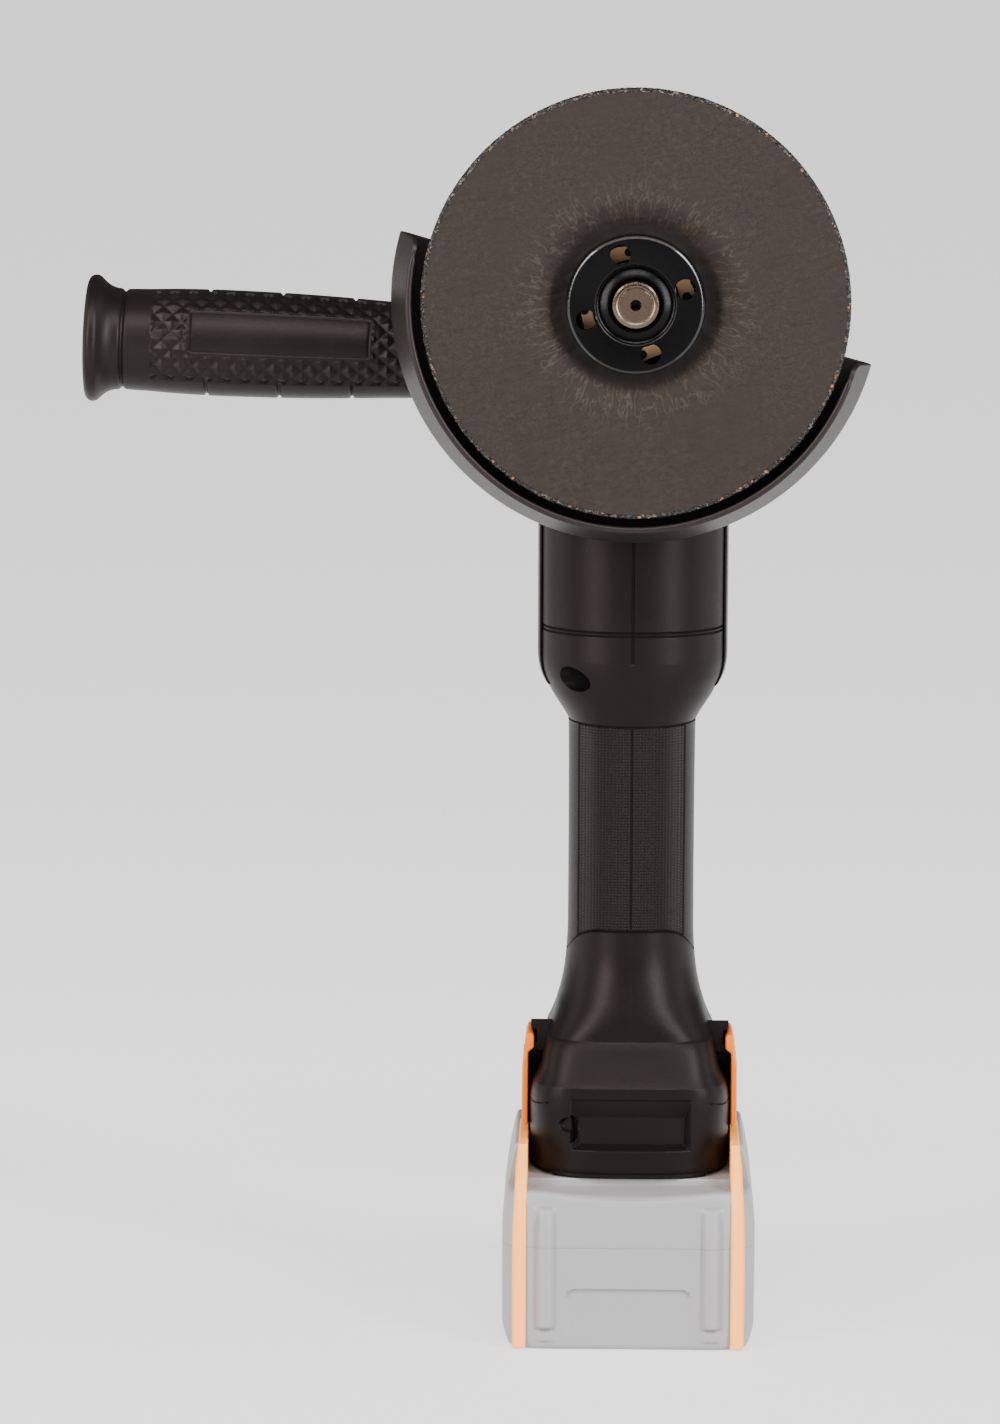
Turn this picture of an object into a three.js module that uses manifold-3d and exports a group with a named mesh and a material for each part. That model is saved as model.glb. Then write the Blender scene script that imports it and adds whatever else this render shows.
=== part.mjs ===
// A 125 mm cordless angle grinder standing on its battery, in millimetres, +Z up.
// The origin is the middle of the battery's flat underside, below the motor axis.
// +X is the operator's right hand seen from the disc side, -Y is the side the disc faces.
import * as THREE from 'three';
import { mergeVertices } from 'three/addons/utils/BufferGeometryUtils.js';
import Module from 'manifold-3d';

const wasm = await Module();
wasm.setup();

// ---- driving dimensions -------------------------------------------------------------------
const GAP = 0.3; // between pieces that touch
const SPINDLE_Z = 313.5; // spindle axis, parallel to Y
const DISC_RADIUS = 62.5;
const DISC_FACE_Y = -62;
const DISC_THICKNESS = 6;
const HUB_DEPTH = 4.6; // how far the disc's hub is set back
const NUT_RADIUS = 20.25;
const NUT_PIN_CIRCLE = 15; // radius of the circle of spanner holes
const NUT_HOLE_RADIUS = 3;
const NUT_TURN_DEG = 18;
const THREAD_RADIUS = 6.9; // M14
const SPINDLE_TIP_Y = -66;
const COLLAR_RADIUS = 20; // neck that the guard clamps on
const GUARD_BACK_Y = -38.5;
const GUARD_LIP_Y = -60.3;
const GUARD_BACK_RADIUS = 71.8;
const GUARD_LIP_RADIUS = 66.8;
const GUARD_SHEET = 1.6;
const GUARD_TURN_DEG = -15.5; // middle of the guard, from straight down
const GUARD_SPAN_DEG = 181;
const GEAR_FRONT_Y = -24; // joint face of gear housing and bearing cover
const HOUSING_TOP_Z = 272; // joint face of shells and gear housing
const RING_TEETH = 28;
const PINION_TEETH = 8;
const RING_PITCH = 20;
const PINION_PITCH = RING_PITCH * PINION_TEETH / RING_TEETH;
const CONE_DISTANCE = Math.hypot(RING_PITCH, PINION_PITCH);
const FACE_WIDTH = 6;
const WALL = 2.6; // shells
const FOOT_BOTTOM_Z = 48.3;
const HANDLE_TILT_DEG = 2;
const HANDLE_ROOT = [-31.8, 0, 293.7]; // where the handle's axis meets its collar
const BATTERY_TOP_Z = 47.9;
const BATTERY_SPLIT_Z = 31;
const CELL_RADIUS = 9.2;
const CELL_HALF_LENGTH = 32.3;
const CELL_PITCH = 19.5;
const FAR = 120; // reach of cutting tools

// ---- materials ----------------------------------------------------------------------------
const look = (color, roughness, metalness) => new THREE.MeshStandardMaterial({ color, roughness, metalness });
const PLASTIC = look(0x2e2a2b, 0.6, 0);
const RUBBER = look(0x292626, 0.85, 0);
const CAST = look(0x4a4748, 0.55, 0.6);
const STEEL = look(0x9a958e, 0.35, 1);
const NICKEL = look(0x96876f, 0.3, 1);
const BLACK_STEEL = look(0x1b1a1a, 0.35, 0.9);
const BLACK_PAINT = look(0x383331, 0.4, 0.3);
const ABRASIVE = look(0x4b423c, 0.95, 0);
const ORANGE = look(0xd77d1e, 0.45, 0);
const PALE_GREY = look(0xbab9ba, 0.55, 0);
const PALE_ORANGE = look(0xfed3ac, 0.5, 0);
const COPPER = look(0xb06a34, 0.35, 1);
const BOARD = look(0x2c5a3a, 0.6, 0);
const CELL_SLEEVE = look(0x3b6fa0, 0.4, 0);

// ---- shape helpers ------------------------------------------------------------------------
const rad = THREE.MathUtils.degToRad;

// Merges a geometry's shared vertices, drops flat triangles and turns its faces outward.
function closed(geometry) {
  geometry.deleteAttribute('normal');
  geometry.deleteAttribute('uv');
  const merged = mergeVertices(geometry, 1e-4);
  const place = merged.getAttribute('position');
  const old = merged.getIndex().array;
  const kept = [];
  const corner = [new THREE.Vector3(), new THREE.Vector3(), new THREE.Vector3()];
  let volume = 0;
  for (let i = 0; i < old.length; i += 3) {
    const [a, b, c] = [old[i], old[i + 1], old[i + 2]];
    if (a === b || b === c || a === c) continue;
    kept.push(a, b, c);
    [a, b, c].forEach((v, k) => corner[k].fromBufferAttribute(place, v));
    volume += corner[0].dot(corner[1].cross(corner[2]));
  }
  if (volume < 0) kept.reverse();
  merged.setIndex(kept);
  return merged;
}

function solid(geometry) {
  const clean = closed(geometry);
  return new wasm.Manifold(new wasm.Mesh({
    numProp: 3,
    vertProperties: new Float32Array(clean.getAttribute('position').array),
    triVerts: new Uint32Array(clean.getIndex().array),
  }));
}

function surface(body) {
  const mesh = body.getMesh();
  const geometry = new THREE.BufferGeometry();
  geometry.setAttribute('position', new THREE.BufferAttribute(mesh.vertProperties, 3));
  geometry.setIndex(new THREE.BufferAttribute(mesh.triVerts, 1));
  return geometry;
}

const union = (...bodies) => bodies.reduce((sum, body) => sum.add(body));
const cut = (body, ...tools) => tools.reduce((rest, tool) => rest.subtract(tool), body);

function box(x0, x1, y0, y1, z0, z1) {
  const geometry = new THREE.BoxGeometry(x1 - x0, y1 - y0, z1 - z0);
  return solid(geometry.translate((x0 + x1) / 2, (y0 + y1) / 2, (z0 + z1) / 2));
}

// Revolves a profile of [radius, height] pairs about +Y, +Z or +X.
function revolve(profile, segments, axis = 'y') {
  const first = profile[0];
  const last = profile[profile.length - 1];
  const points = profile.map(([radius, height]) => new THREE.Vector2(radius, height));
  if (first[0] > 0 || last[0] > 0) points.push(points[0].clone());
  const geometry = new THREE.LatheGeometry(points, segments);
  if (axis === 'z') geometry.rotateX(Math.PI / 2);
  if (axis === 'x') geometry.rotateZ(-Math.PI / 2);
  return geometry;
}

const rod = (radius, from, to, segments, axis) =>
  revolve([[0, from], [radius, from], [radius, to], [0, to]], segments, axis);
const tube = (inner, outer, from, to, segments, axis) =>
  revolve([[inner, from], [outer, from], [outer, to], [inner, to]], segments, axis);

// A straight prism with its outline in XZ, between two Y values.
function prismXZ(outline, y0, y1) {
  const shape = new THREE.Shape(outline.map(([x, z]) => new THREE.Vector2(x, z)));
  const geometry = new THREE.ExtrudeGeometry(shape, { depth: y1 - y0, bevelEnabled: false });
  return geometry.rotateX(Math.PI / 2).translate(0, y1, 0);
}

// A straight prism with its outline in YZ, between two X values.
function prismYZ(outline, x0, x1) {
  const shape = new THREE.Shape(outline.map(([y, z]) => new THREE.Vector2(y, z)));
  const geometry = new THREE.ExtrudeGeometry(shape, { depth: x1 - x0, bevelEnabled: false });
  return geometry.rotateX(Math.PI / 2).rotateZ(Math.PI / 2).translate(x0, 0, 0);
}

function arc(cx, cy, radius, fromDeg, toDeg, steps) {
  const points = [];
  for (let i = 0; i <= steps; i++) {
    const angle = rad(fromDeg + (toDeg - fromDeg) * i / steps);
    points.push([cx + radius * Math.cos(angle), cy + radius * Math.sin(angle)]);
  }
  return points;
}

function roundedRect(halfX, halfY, radius, steps = 4) {
  return [
    ...arc(halfX - radius, halfY - radius, radius, 0, 90, steps),
    ...arc(radius - halfX, halfY - radius, radius, 90, 180, steps),
    ...arc(radius - halfX, radius - halfY, radius, 180, 270, steps),
    ...arc(halfX - radius, radius - halfY, radius, 270, 360, steps),
  ];
}

// One level outline: half width, reach to the front and the back, and how square each of them is.
function section([z, halfX, front, back, frontPower, backPower = frontPower], shrink, sides) {
  const ring = [];
  for (let i = 0; i < sides; i++) {
    const angle = 2 * Math.PI * i / sides;
    const c = Math.cos(angle);
    const s = Math.sin(angle);
    const reach = (s < 0 ? front : back) - shrink;
    const power = s < 0 ? frontPower : backPower;
    const x = (halfX - shrink) * Math.sign(c) * Math.abs(c) ** (2 / power);
    const y = reach * Math.sign(s) * Math.abs(s) ** (2 / power);
    ring.push([Math.abs(c) < 1e-9 ? 0 : x, Math.abs(s) < 1e-9 ? 0 : y, z]);
  }
  return ring;
}

// Joins level outlines into one closed solid.
function loft(stations, shrink, sides) {
  const rings = stations.map((station) => section(station, shrink, sides));
  const places = rings.flat(2);
  const index = [];
  for (let r = 0; r + 1 < rings.length; r++) {
    for (let i = 0; i < sides; i++) {
      const a = r * sides + i;
      const b = r * sides + (i + 1) % sides;
      index.push(a, b, b + sides, a, b + sides, a + sides);
    }
  }
  const top = (rings.length - 1) * sides;
  for (let i = 1; i + 1 < sides; i++) {
    index.push(0, i + 1, i, top, top + i, top + i + 1);
  }
  const geometry = new THREE.BufferGeometry();
  geometry.setAttribute('position', new THREE.Float32BufferAttribute(places, 3));
  geometry.setIndex(index);
  return geometry;
}

const group = new THREE.Group();

function add(name, shape, material, parent = group) {
  const geometry = shape.getMesh ? surface(shape) : closed(shape);
  const mesh = new THREE.Mesh(geometry, material.clone());
  mesh.name = name;
  parent.add(mesh);
  return mesh;
}

const head = new THREE.Group(); // everything round the spindle, which runs along Y
head.position.z = SPINDLE_Z;
group.add(head);

// ---- spindle, flange, disc and nut --------------------------------------------------------
const HUB_FRONT_Y = DISC_FACE_Y + HUB_DEPTH;
const HUB_BACK_Y = HUB_FRONT_Y + DISC_THICKNESS;

function spindle() {
  return revolve([
    [0, 13.7], [4, 13.7], [4, 5.5], [6, 5.5], [6, -14.3], [9, -14.3], [9, -24.6], [7.5, -24.6],
    [7.5, -43.6], [THREAD_RADIUS, -43.6], [THREAD_RADIUS, SPINDLE_TIP_Y + 2],
    [4.7, SPINDLE_TIP_Y], [0, SPINDLE_TIP_Y],
  ], 16);
}

const innerFlange = () => revolve([
  [7.2, -43.9], [16, -43.9], [20, -48], [20, HUB_BACK_Y + GAP], [10.9, HUB_BACK_Y + GAP],
  [10.9, HUB_BACK_Y - 2.4], [7.2, HUB_BACK_Y - 2.4],
], 24);

const grindingDisc = () => revolve([
  [12.7, HUB_FRONT_Y], [22.5, HUB_FRONT_Y], [29, DISC_FACE_Y], [DISC_RADIUS, DISC_FACE_Y],
  [DISC_RADIUS, DISC_FACE_Y + DISC_THICKNESS], [31, DISC_FACE_Y + DISC_THICKNESS],
  [24.5, HUB_BACK_Y], [12.7, HUB_BACK_Y],
], 48);

const boreRing = () => tube(11.2, 12.4, HUB_FRONT_Y, HUB_BACK_Y, 16);

function lockNut() {
  const back = HUB_FRONT_Y - GAP;
  const front = -63.9;
  let nut = solid(revolve([
    [7.2, back], [NUT_RADIUS - 0.5, back], [NUT_RADIUS, back - 0.8], [NUT_RADIUS, front + 1.2],
    [NUT_RADIUS - 1.2, front], [12, front], [9.5, front + 1.2], [7.2, front + 2],
  ], 32));
  for (let i = 0; i < 4; i++) {
    const angle = rad(NUT_TURN_DEG + 90 * i);
    const hole = rod(NUT_HOLE_RADIUS, front - 2, back + 2, 10);
    hole.translate(NUT_PIN_CIRCLE * Math.cos(angle), 0, NUT_PIN_CIRCLE * Math.sin(angle));
    nut = cut(nut, solid(hole));
  }
  return nut;
}

add('spindle', spindle(), NICKEL, head);
add('inner_flange', innerFlange(), BLACK_STEEL, head);
add('grinding_disc', grindingDisc(), ABRASIVE, head);
add('disc_bore_ring', boreRing(), STEEL, head);
add('lock_nut', lockNut(), BLACK_STEEL, head);

// ---- bevel gears, with their common apex where the two axes cross -------------------------
const PITCH_ANGLE = Math.atan2(RING_PITCH, PINION_PITCH);
const ADDENDUM = 0.9 / CONE_DISTANCE;
const DEDENDUM = 1.5 / CONE_DISTANCE;
const TIP_HALF = 0.42; // half tooth widths on the pitch circle, in mm
const ROOT_HALF = 1.15;

// Angles round a gear where its surface steps between root and tip.
function toothAngles(teeth, pitchRadius, turn) {
  const angles = [];
  for (let i = 0; i < teeth; i++) {
    const middle = 2 * Math.PI * i / teeth + turn;
    angles.push([middle - ROOT_HALF / pitchRadius, 0], [middle - TIP_HALF / pitchRadius, 1]);
    angles.push([middle + TIP_HALF / pitchRadius, 1], [middle + ROOT_HALF / pitchRadius, 0]);
  }
  return angles;
}

// Revolves a profile that may differ between root and tip, about +Y.
function toothedRing(angles, profileAt) {
  const places = [];
  const index = [];
  const rows = profileAt(0).length;
  angles.forEach(([angle, tip]) => {
    profileAt(tip).forEach(([r, y]) => places.push(r * Math.cos(angle), y, r * Math.sin(angle)));
  });
  angles.forEach((_, i) => {
    const next = (i + 1) % angles.length;
    for (let k = 0; k < rows; k++) {
      const l = (k + 1) % rows;
      const [a, b, c, d] = [i * rows + k, next * rows + k, next * rows + l, i * rows + l];
      index.push(a, b, c, a, c, d);
    }
  });
  const geometry = new THREE.BufferGeometry();
  geometry.setAttribute('position', new THREE.Float32BufferAttribute(places, 3));
  geometry.setIndex(index);
  return geometry;
}

function ringGear() {
  const outer = RING_PITCH + 0.4;
  const inner = outer - FACE_WIDTH;
  const depth = (radius, tip) => -radius / Math.tan(PITCH_ANGLE + (tip ? ADDENDUM : -DEDENDUM));
  // A gap of the ring faces the pinion, which lies below the spindle.
  const turn = -Math.PI / 2 + Math.PI / RING_TEETH;
  return toothedRing(toothAngles(RING_TEETH, RING_PITCH, turn), (tip) => [
    [6.3, -14], [outer, -14], [outer, depth(outer, tip)], [inner, depth(inner, tip)],
    [inner - 0.6, -8], [6.3, -8],
  ]);
}

function pinion() {
  const heel = -RING_PITCH;
  const toe = heel + FACE_WIDTH;
  const angle = Math.PI / 2 - PITCH_ANGLE;
  const reach = (height, tip) => -height * Math.tan(angle + (tip ? ADDENDUM : -DEDENDUM));
  // A tooth of the pinion points at the ring gear, on the disc's side.
  const gear = toothedRing(toothAngles(PINION_TEETH, PINION_PITCH, Math.PI / 2), (tip) => [
    [3, heel - 9], [5, heel - 9], [5, heel - 1.2], [reach(heel, 0), heel - 0.6],
    [reach(heel, tip), heel], [reach(toe, tip), toe], [3, toe],
  ]);
  return gear.rotateX(Math.PI / 2);
}

add('ring_gear', ringGear(), STEEL, head);
add('pinion', pinion(), STEEL, head);

// ---- gear housing and bearing cover -------------------------------------------------------
const CHAMBER_RADIUS = 22.5;
const REAR_BEARING_RADIUS = 8;
const FRONT_BEARING_RADIUS = 17.5;
const MOTOR_BEARING_RADIUS = 11;
const LOCK_PIN_RISE = 11; // lock pin above the spindle axis
const COVER_SCREW = 21.5;
const BOSS_FACE_X = 31;
const BOSS_Z = HANDLE_ROOT[2] - SPINDLE_Z;
const HEAD_TOP = 27.5;

const alongY = (body, x, z) => body.translate([x, 0, z]);
const coverScrewPlaces = [[-1, -1], [1, -1], [-1, 1], [1, 1]].map((s) => s.map((v) => v * COVER_SCREW));

function gearHousing() {
  const floor = HOUSING_TOP_Z + GAP - SPINDLE_Z;
  const front = [
    [-28, floor], [28, floor], [28, 4], ...arc(0, 0, HEAD_TOP, 20, 160, 10), [-28, 4],
  ];
  const side = [
    [GEAR_FRONT_Y, floor], [28.6, floor], [28.6, floor + 12], [21.5, 0], [21.5, 14],
    ...arc(11.5, HEAD_TOP - 10, 10, 0, 90, 4), [GEAR_FRONT_Y, HEAD_TOP],
  ];
  const block = solid(prismXZ(front, GEAR_FRONT_Y, 30)).intersect(solid(prismYZ(side, -40, 40)));
  const flange = solid(loft([
    [floor, 28.4, 28.6, 28.6, 5], [floor + 7, 28.4, 28.6, 28.6, 5],
  ], 0, 32)).intersect(box(-40, 40, GEAR_FRONT_Y, 40, floor - 1, floor + 8));
  const bosses = solid(rod(10, -BOSS_FACE_X, BOSS_FACE_X, 20, 'x')).translate([0, 0, BOSS_Z]);
  const studHole = solid(rod(4.2, -FAR, -13, 16, 'x')).rotate([0, HANDLE_TILT_DEG, 0])
    .translate([0, 0, BOSS_Z + HANDLE_ROOT[0] * Math.tan(rad(HANDLE_TILT_DEG))]);
  const rightStud = solid(rod(3.4, 23.5, FAR, 16, 'x')).translate([0, 0, BOSS_Z]);
  const holes = coverScrewPlaces.map(([x, z]) => alongY(solid(rod(2, -30, -13, 6)), x, z));
  return cut(
    union(block, flange, bosses),
    solid(rod(CHAMBER_RADIUS, -40, 5, 24)),
    solid(rod(REAR_BEARING_RADIUS + GAP, 4, 14.3, 14)),
    solid(rod(9, floor - 5, -8, 16, 'z')),
    solid(rod(MOTOR_BEARING_RADIUS + GAP, floor - 5, floor + 7.6, 18, 'z')),
    alongY(solid(rod(2.1, 0, 30, 12)), 0, LOCK_PIN_RISE),
    alongY(solid(rod(8.4, 14.8, 30, 16)), 0, LOCK_PIN_RISE),
    studHole, rightStud, ...holes,
  );
}

function bearingCover() {
  const face = -32;
  const plate = solid(prismXZ(roundedRect(27, 27, 7), face, GEAR_FRONT_Y - GAP));
  const collar = solid(rod(COLLAR_RADIUS, -42, face + 1, 32));
  const holes = coverScrewPlaces.flatMap(([x, z]) => [
    alongY(solid(rod(2, -40, -20, 6)), x, z),
    alongY(solid(rod(4, -40, -28.4, 8)), x, z),
  ]);
  return cut(
    union(plate, collar),
    solid(rod(FRONT_BEARING_RADIUS + GAP, -36.5, -20, 24)),
    solid(rod(8.2, -50, -30, 16)),
    ...holes,
  );
}

const coverScrew = () => revolve([
  [0, -31.9], [3.5, -31.9], [3.5, -28.8], [1.6, -28.8], [1.6, -14], [0, -14],
], 8);

add('gear_housing', gearHousing(), CAST, head);
add('bearing_cover', bearingCover(), CAST, head);
coverScrewPlaces.forEach(([x, z], i) => {
  add(`cover_screw_${i + 1}`, coverScrew(), BLACK_STEEL, head).position.set(x, 0, z);
});
add('spindle_bearing_front', tube(7.8, FRONT_BEARING_RADIUS, -36.2, -25.2, 18), STEEL, head);
add('spindle_bearing_rear', tube(4.3, REAR_BEARING_RADIUS, 6.2, 13.9, 12), STEEL, head);

// ---- spindle lock -------------------------------------------------------------------------
// The button is a cup over its spring, with the lock pin on its middle.
const lockButton = () => revolve([
  [0, -4.6], [1.8, -4.6], [1.8, 23.4], [6.2, 23.4], [6.2, 18], [8, 18], [8, 25.4], [7, 26.4],
  [0, 26.4],
], 14);

add('lock_button', lockButton(), PLASTIC, head).position.z = LOCK_PIN_RISE;
add('lock_spring', tube(2.6, 5, 15.1, 20.1, 12), STEEL, head).position.z = LOCK_PIN_RISE;

// ---- guard --------------------------------------------------------------------------------
const BAND_Y = [-38.1, -33.5];
const BAND_RADIUS = [22.2, 24];
const EAR_REACH = 31;
const EAR_GAP = 3; // from the middle of the gap to each ear
const guard = new THREE.Group();
guard.rotation.y = rad(-GUARD_TURN_DEG);
head.add(guard);

function guardShell() {
  const plate = solid(revolve([
    [20.5, GUARD_BACK_Y - GUARD_SHEET], [20.5, GUARD_BACK_Y], [GUARD_BACK_RADIUS - 1.5, GUARD_BACK_Y],
    [GUARD_BACK_RADIUS, GUARD_BACK_Y - 1.5], [GUARD_LIP_RADIUS, GUARD_LIP_Y + 0.6],
    [GUARD_LIP_RADIUS - 0.6, GUARD_LIP_Y], [GUARD_LIP_RADIUS - 1.7, GUARD_LIP_Y],
    [GUARD_LIP_RADIUS - 1.7, GUARD_LIP_Y + 1.4],
    [GUARD_BACK_RADIUS - GUARD_SHEET - 0.3, GUARD_BACK_Y - GUARD_SHEET],
  ], 48));
  const edge = 90 - GUARD_SPAN_DEG / 2;
  const wedge = [[0, 0], ...arc(0, 0, FAR, edge - 180, -edge, 4)];
  const half = plate.intersect(solid(prismXZ(wedge, -FAR, 0)));
  const neck = solid(revolve([
    [20.4, GUARD_BACK_Y - GUARD_SHEET], [20.4, -33.2], [21.9, -33.2], [21.9, GUARD_BACK_Y + 0.2],
    [25, GUARD_BACK_Y], [25, GUARD_BACK_Y - GUARD_SHEET],
  ], 32));
  return union(half, neck);
}

function guardBand() {
  const ring = solid(tube(...BAND_RADIUS, ...BAND_Y, 32));
  const gap = box(-EAR_GAP, EAR_GAP, -FAR, 0, 0, FAR);
  const ear = (side) => box(side - 1.2, side + 1.2, ...BAND_Y, BAND_RADIUS[0] + 0.3, EAR_REACH);
  const hole = solid(rod(2, -20, 20, 10, 'x')).translate([0, -35.8, 28]);
  return cut(union(cut(ring, gap), ear(EAR_GAP + 1), ear(-EAR_GAP - 1)), hole);
}

const LEVER_PIVOT = [10.5, 28];

function guardLever() {
  const outline = [
    ...arc(0, 0, 4.2, 100, 260, 6), ...arc(24, -10, 2.6, -110, 60, 5), [9, 1.5],
  ];
  const body = solid(prismXZ(outline, -38, -33.6));
  const slot = box(-9, 4.6, -37.4, -34.2, -9, 9);
  return cut(body, slot, solid(rod(1.9, -50, -20, 10)));
}

add('guard_shell', guardShell(), BLACK_PAINT, guard);
add('guard_band', guardBand(), BLACK_STEEL, guard);
const clampScrew = union(
  solid(rod(1.6, -6.5, 9.2, 10, 'x')), solid(rod(3, -9, -6.2, 6, 'x')), box(8.9, 12.6, -1.3, 1.3, -2.6, 2.6),
);
const pinHole = solid(rod(1.5, -9, 9, 10)).translate([LEVER_PIVOT[0], 0, 0]);
add('clamp_screw', cut(clampScrew, pinHole), STEEL, guard).position.set(0, -35.8, LEVER_PIVOT[1]);
const leverPin = add('lever_pin', rod(1.2, -38.2, -33.4, 10), STEEL, guard);
leverPin.position.set(LEVER_PIVOT[0], 0, LEVER_PIVOT[1]);
const lever = add('guard_lever', guardLever(), BLACK_STEEL, guard);
lever.position.set(LEVER_PIVOT[0], 0, LEVER_PIVOT[1]);

// ---- housing shells -----------------------------------------------------------------------
// Height, half width, reach to the front and the back, squareness of the front and of the back.
const OUTSIDE = [
  [FOOT_BOTTOM_Z, 30.2, 36, 40, 3.2, 7], [77, 30.2, 35.4, 39.4, 3.2, 7], [90, 30.1, 29.5, 38, 3.2, 6],
  [92.3, 29.8, 29, 37.5, 3.2, 6], [92.5, 23.9, 28.4, 34, 2.6, 3.6], [97.5, 22.4, 26.8, 29.5, 2.4, 3.2],
  [102, 21.2, 25.4, 26.5, 2.3, 3], [107, 20.2, 24.3, 24.4, 2.2, 3], [114, 19.4, 23.6, 22.8, 2.1, 3],
  [122, 19.1, 23.4, 22.2, 2.1, 3], [183, 19.2, 25.4, 22.8, 2.1, 3], [187, 20.4, 25.9, 23.6, 2.1, 3],
  [192.6, 24, 27.3, 25.8, 2.1, 3.4], [198.7, 27, 28.8, 27.8, 2.1, 4], [203, 27.8, 29.4, 28.8, 2.1, 4.6],
  [HOUSING_TOP_Z, 27.9, 29.6, 29, 2.1, 5],
];
const INSIDE = [
  [FOOT_BOTTOM_Z + 3.5, 30.2, 35.8, 40, 3.2, 7], [77, 30, 35, 39.2, 3.2, 7], [86, 29.8, 30, 38, 3.2, 6],
  [89, 24.5, 28, 34, 2.7, 3.8], [97.5, 22, 26.2, 28.5, 2.4, 3.2], [107, 20.1, 24.1, 24, 2.2, 3],
  [122, 19.1, 23.3, 22.2, 2.1, 3], [183, 19.2, 25.2, 22.8, 2.1, 3], [192.6, 23.8, 27.2, 25.6, 2.1, 3.4],
  [203, 27.8, 29.3, 28.6, 2.1, 4.6], [HOUSING_TOP_Z + 1, 27.9, 29.6, 29, 2.1, 5],
];
const BODY_SIDES = 24;
const RAIL_Z = 52; // underside of the battery rail's head
const RAIL_HEAD_X = 25;
const RAIL_NECK_X = 20.6;
const RAIL_TOP_Z = 60;
// Screws that join the shells, as [Y, Z, X under the head].
const SHELL_SCREWS = [[-22, 198.8, -9.5], [10, 128, -13], [26, 84, -22], [-14, 68.5, -24]];
const MOTOR_RIB_Z = [203.2, 208.6];
const EAR_INSIDE_X = 24.4;

const across = (radius, x0, x1, y, z, segments) =>
  solid(rod(radius, x0, x1, segments, 'x')).translate([0, y, z]);

function shellSolid() {
  const outside = solid(loft(OUTSIDE, 0, BODY_SIDES));
  const rib = box(-FAR, FAR, -FAR, FAR, ...MOTOR_RIB_Z);
  const bosses = SHELL_SCREWS.map(([y, z]) => across(4.8, -FAR, FAR, y, z, 8));
  const pocketBacking = box(-21.5, 21.5, -FAR, -29.6, 55, 77);
  const hollow = cut(solid(loft(INSIDE, WALL, BODY_SIDES)), rib, ...bosses, pocketBacking);
  const holes = SHELL_SCREWS.flatMap(([y, z, x]) => [
    across(1.9, -FAR, 14, y, z, 6), across(3.8, -FAR, x, y, z, 8),
  ]);
  const vents = [];
  for (let i = 0; i < 4; i++) {
    const z = 216 + 8 * i;
    vents.push(box(-FAR, FAR, 18.5, 23, z, z + 3));
  }
  return cut(
    outside, hollow, ...holes, ...vents,
    solid(rod(9.8, 190, 215, 16, 'z')),
    box(-3.4, 3.4, 20, 26.2, 200, 212),
    box(-4, 4, 20, FAR, 216, 246),
    box(-21, 21, -18, FAR, 40, RAIL_Z),
    box(-RAIL_HEAD_X - 0.6, RAIL_HEAD_X + 0.6, 30, FAR, 51, RAIL_TOP_Z + 0.6),
    keyPocket(),
    ...[-1, 1].map(earSlope),
  );
}

// The top of the foot beside the flare falls towards the back.
function earSlope(sign) {
  const wedge = solid(prismYZ([[-5, 92.3], [45, 85.5], [45, 93], [-5, 93]], 0, FAR));
  return wedge.translate([sign < 0 ? -FAR - EAR_INSIDE_X : EAR_INSIDE_X, 0, 0]);
}

// The pocket in the front of the foot that holds the pin spanner.
function keyPocket() {
  const floor = -32.2;
  const outline = roundedRect(18.3, 7.8, 1.5, 2).map(([x, z]) => [x, z + 66]);
  return solid(prismXZ(outline, -60, floor));
}

const shells = shellSolid();
const half = (sign) => box(...(sign < 0 ? [-FAR, -GAP / 2] : [GAP / 2, FAR]), -FAR, FAR, 0, 300);
add('shell_left', shells.intersect(half(-1)), PLASTIC);
add('shell_right', shells.intersect(half(1)), PLASTIC);
SHELL_SCREWS.forEach(([y, z, x], i) => {
  const length = 12 - x;
  const screw = revolve([
    [0, -2.4], [2.9, -2.4], [3.4, -1.8], [3.4, -GAP], [1.6, -GAP], [1.6, length], [0, length],
  ], 8, 'x');
  add(`shell_screw_${i + 1}`, screw, BLACK_STEEL).position.set(x, y, z);
});

// A thin panel that wraps round one side of the housing and down its taper.
function sideStrip(sign) {
  const layer = solid(loft(OUTSIDE, -1.1, BODY_SIDES)).subtract(solid(loft(OUTSIDE, -GAP, BODY_SIDES)));
  return layer.intersect(box(...(sign < 0 ? [-FAR, 0] : [0, FAR]), -6.4, 14, 195, 266));
}

for (const [side, sign] of [['left', -1], ['right', 1]]) {
  add(`side_strip_${side}`, sideStrip(sign), RUBBER);
  const tab = prismYZ(roundedRect(16, 14, 4).map(([y, z]) => [y, z + 76.6]), 0, 2);
  add(`trim_tab_${side}`, tab, ORANGE).position.x = sign < 0 ? -32.6 : 30.6;
}

// ---- motor --------------------------------------------------------------------------------
const STATOR_Z = [216, 244];
const STATOR_RADIUS = 23;
const ROTOR_RADIUS = 14.2;
const SLOTS = 6;
const FAN_BLADES = 9;

function statorCore() {
  const shape = new THREE.Shape(arc(0, 0, STATOR_RADIUS, 0, 340, 17).map((p) => new THREE.Vector2(...p)));
  const bore = [];
  for (let i = 0; i < SLOTS; i++) {
    const middle = 360 * i / SLOTS;
    bore.push(...arc(0, 0, ROTOR_RADIUS + 0.5, middle - 20, middle + 20, 3));
    bore.push(...arc(0, 0, 20, middle + 24, middle + 36, 1));
  }
  shape.holes.push(new THREE.Path(bore.reverse().map((p) => new THREE.Vector2(...p))));
  const depth = STATOR_Z[1] - STATOR_Z[0];
  return new THREE.ExtrudeGeometry(shape, { depth, bevelEnabled: false }).translate(0, 0, STATOR_Z[0]);
}

const motorShaft = () => revolve([
  [0, 202.4], [3, 202.4], [3, 209], [4, 209], [4, 284], [2.7, 284], [2.7, 299], [0, 299],
], 10, 'z');

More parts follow.
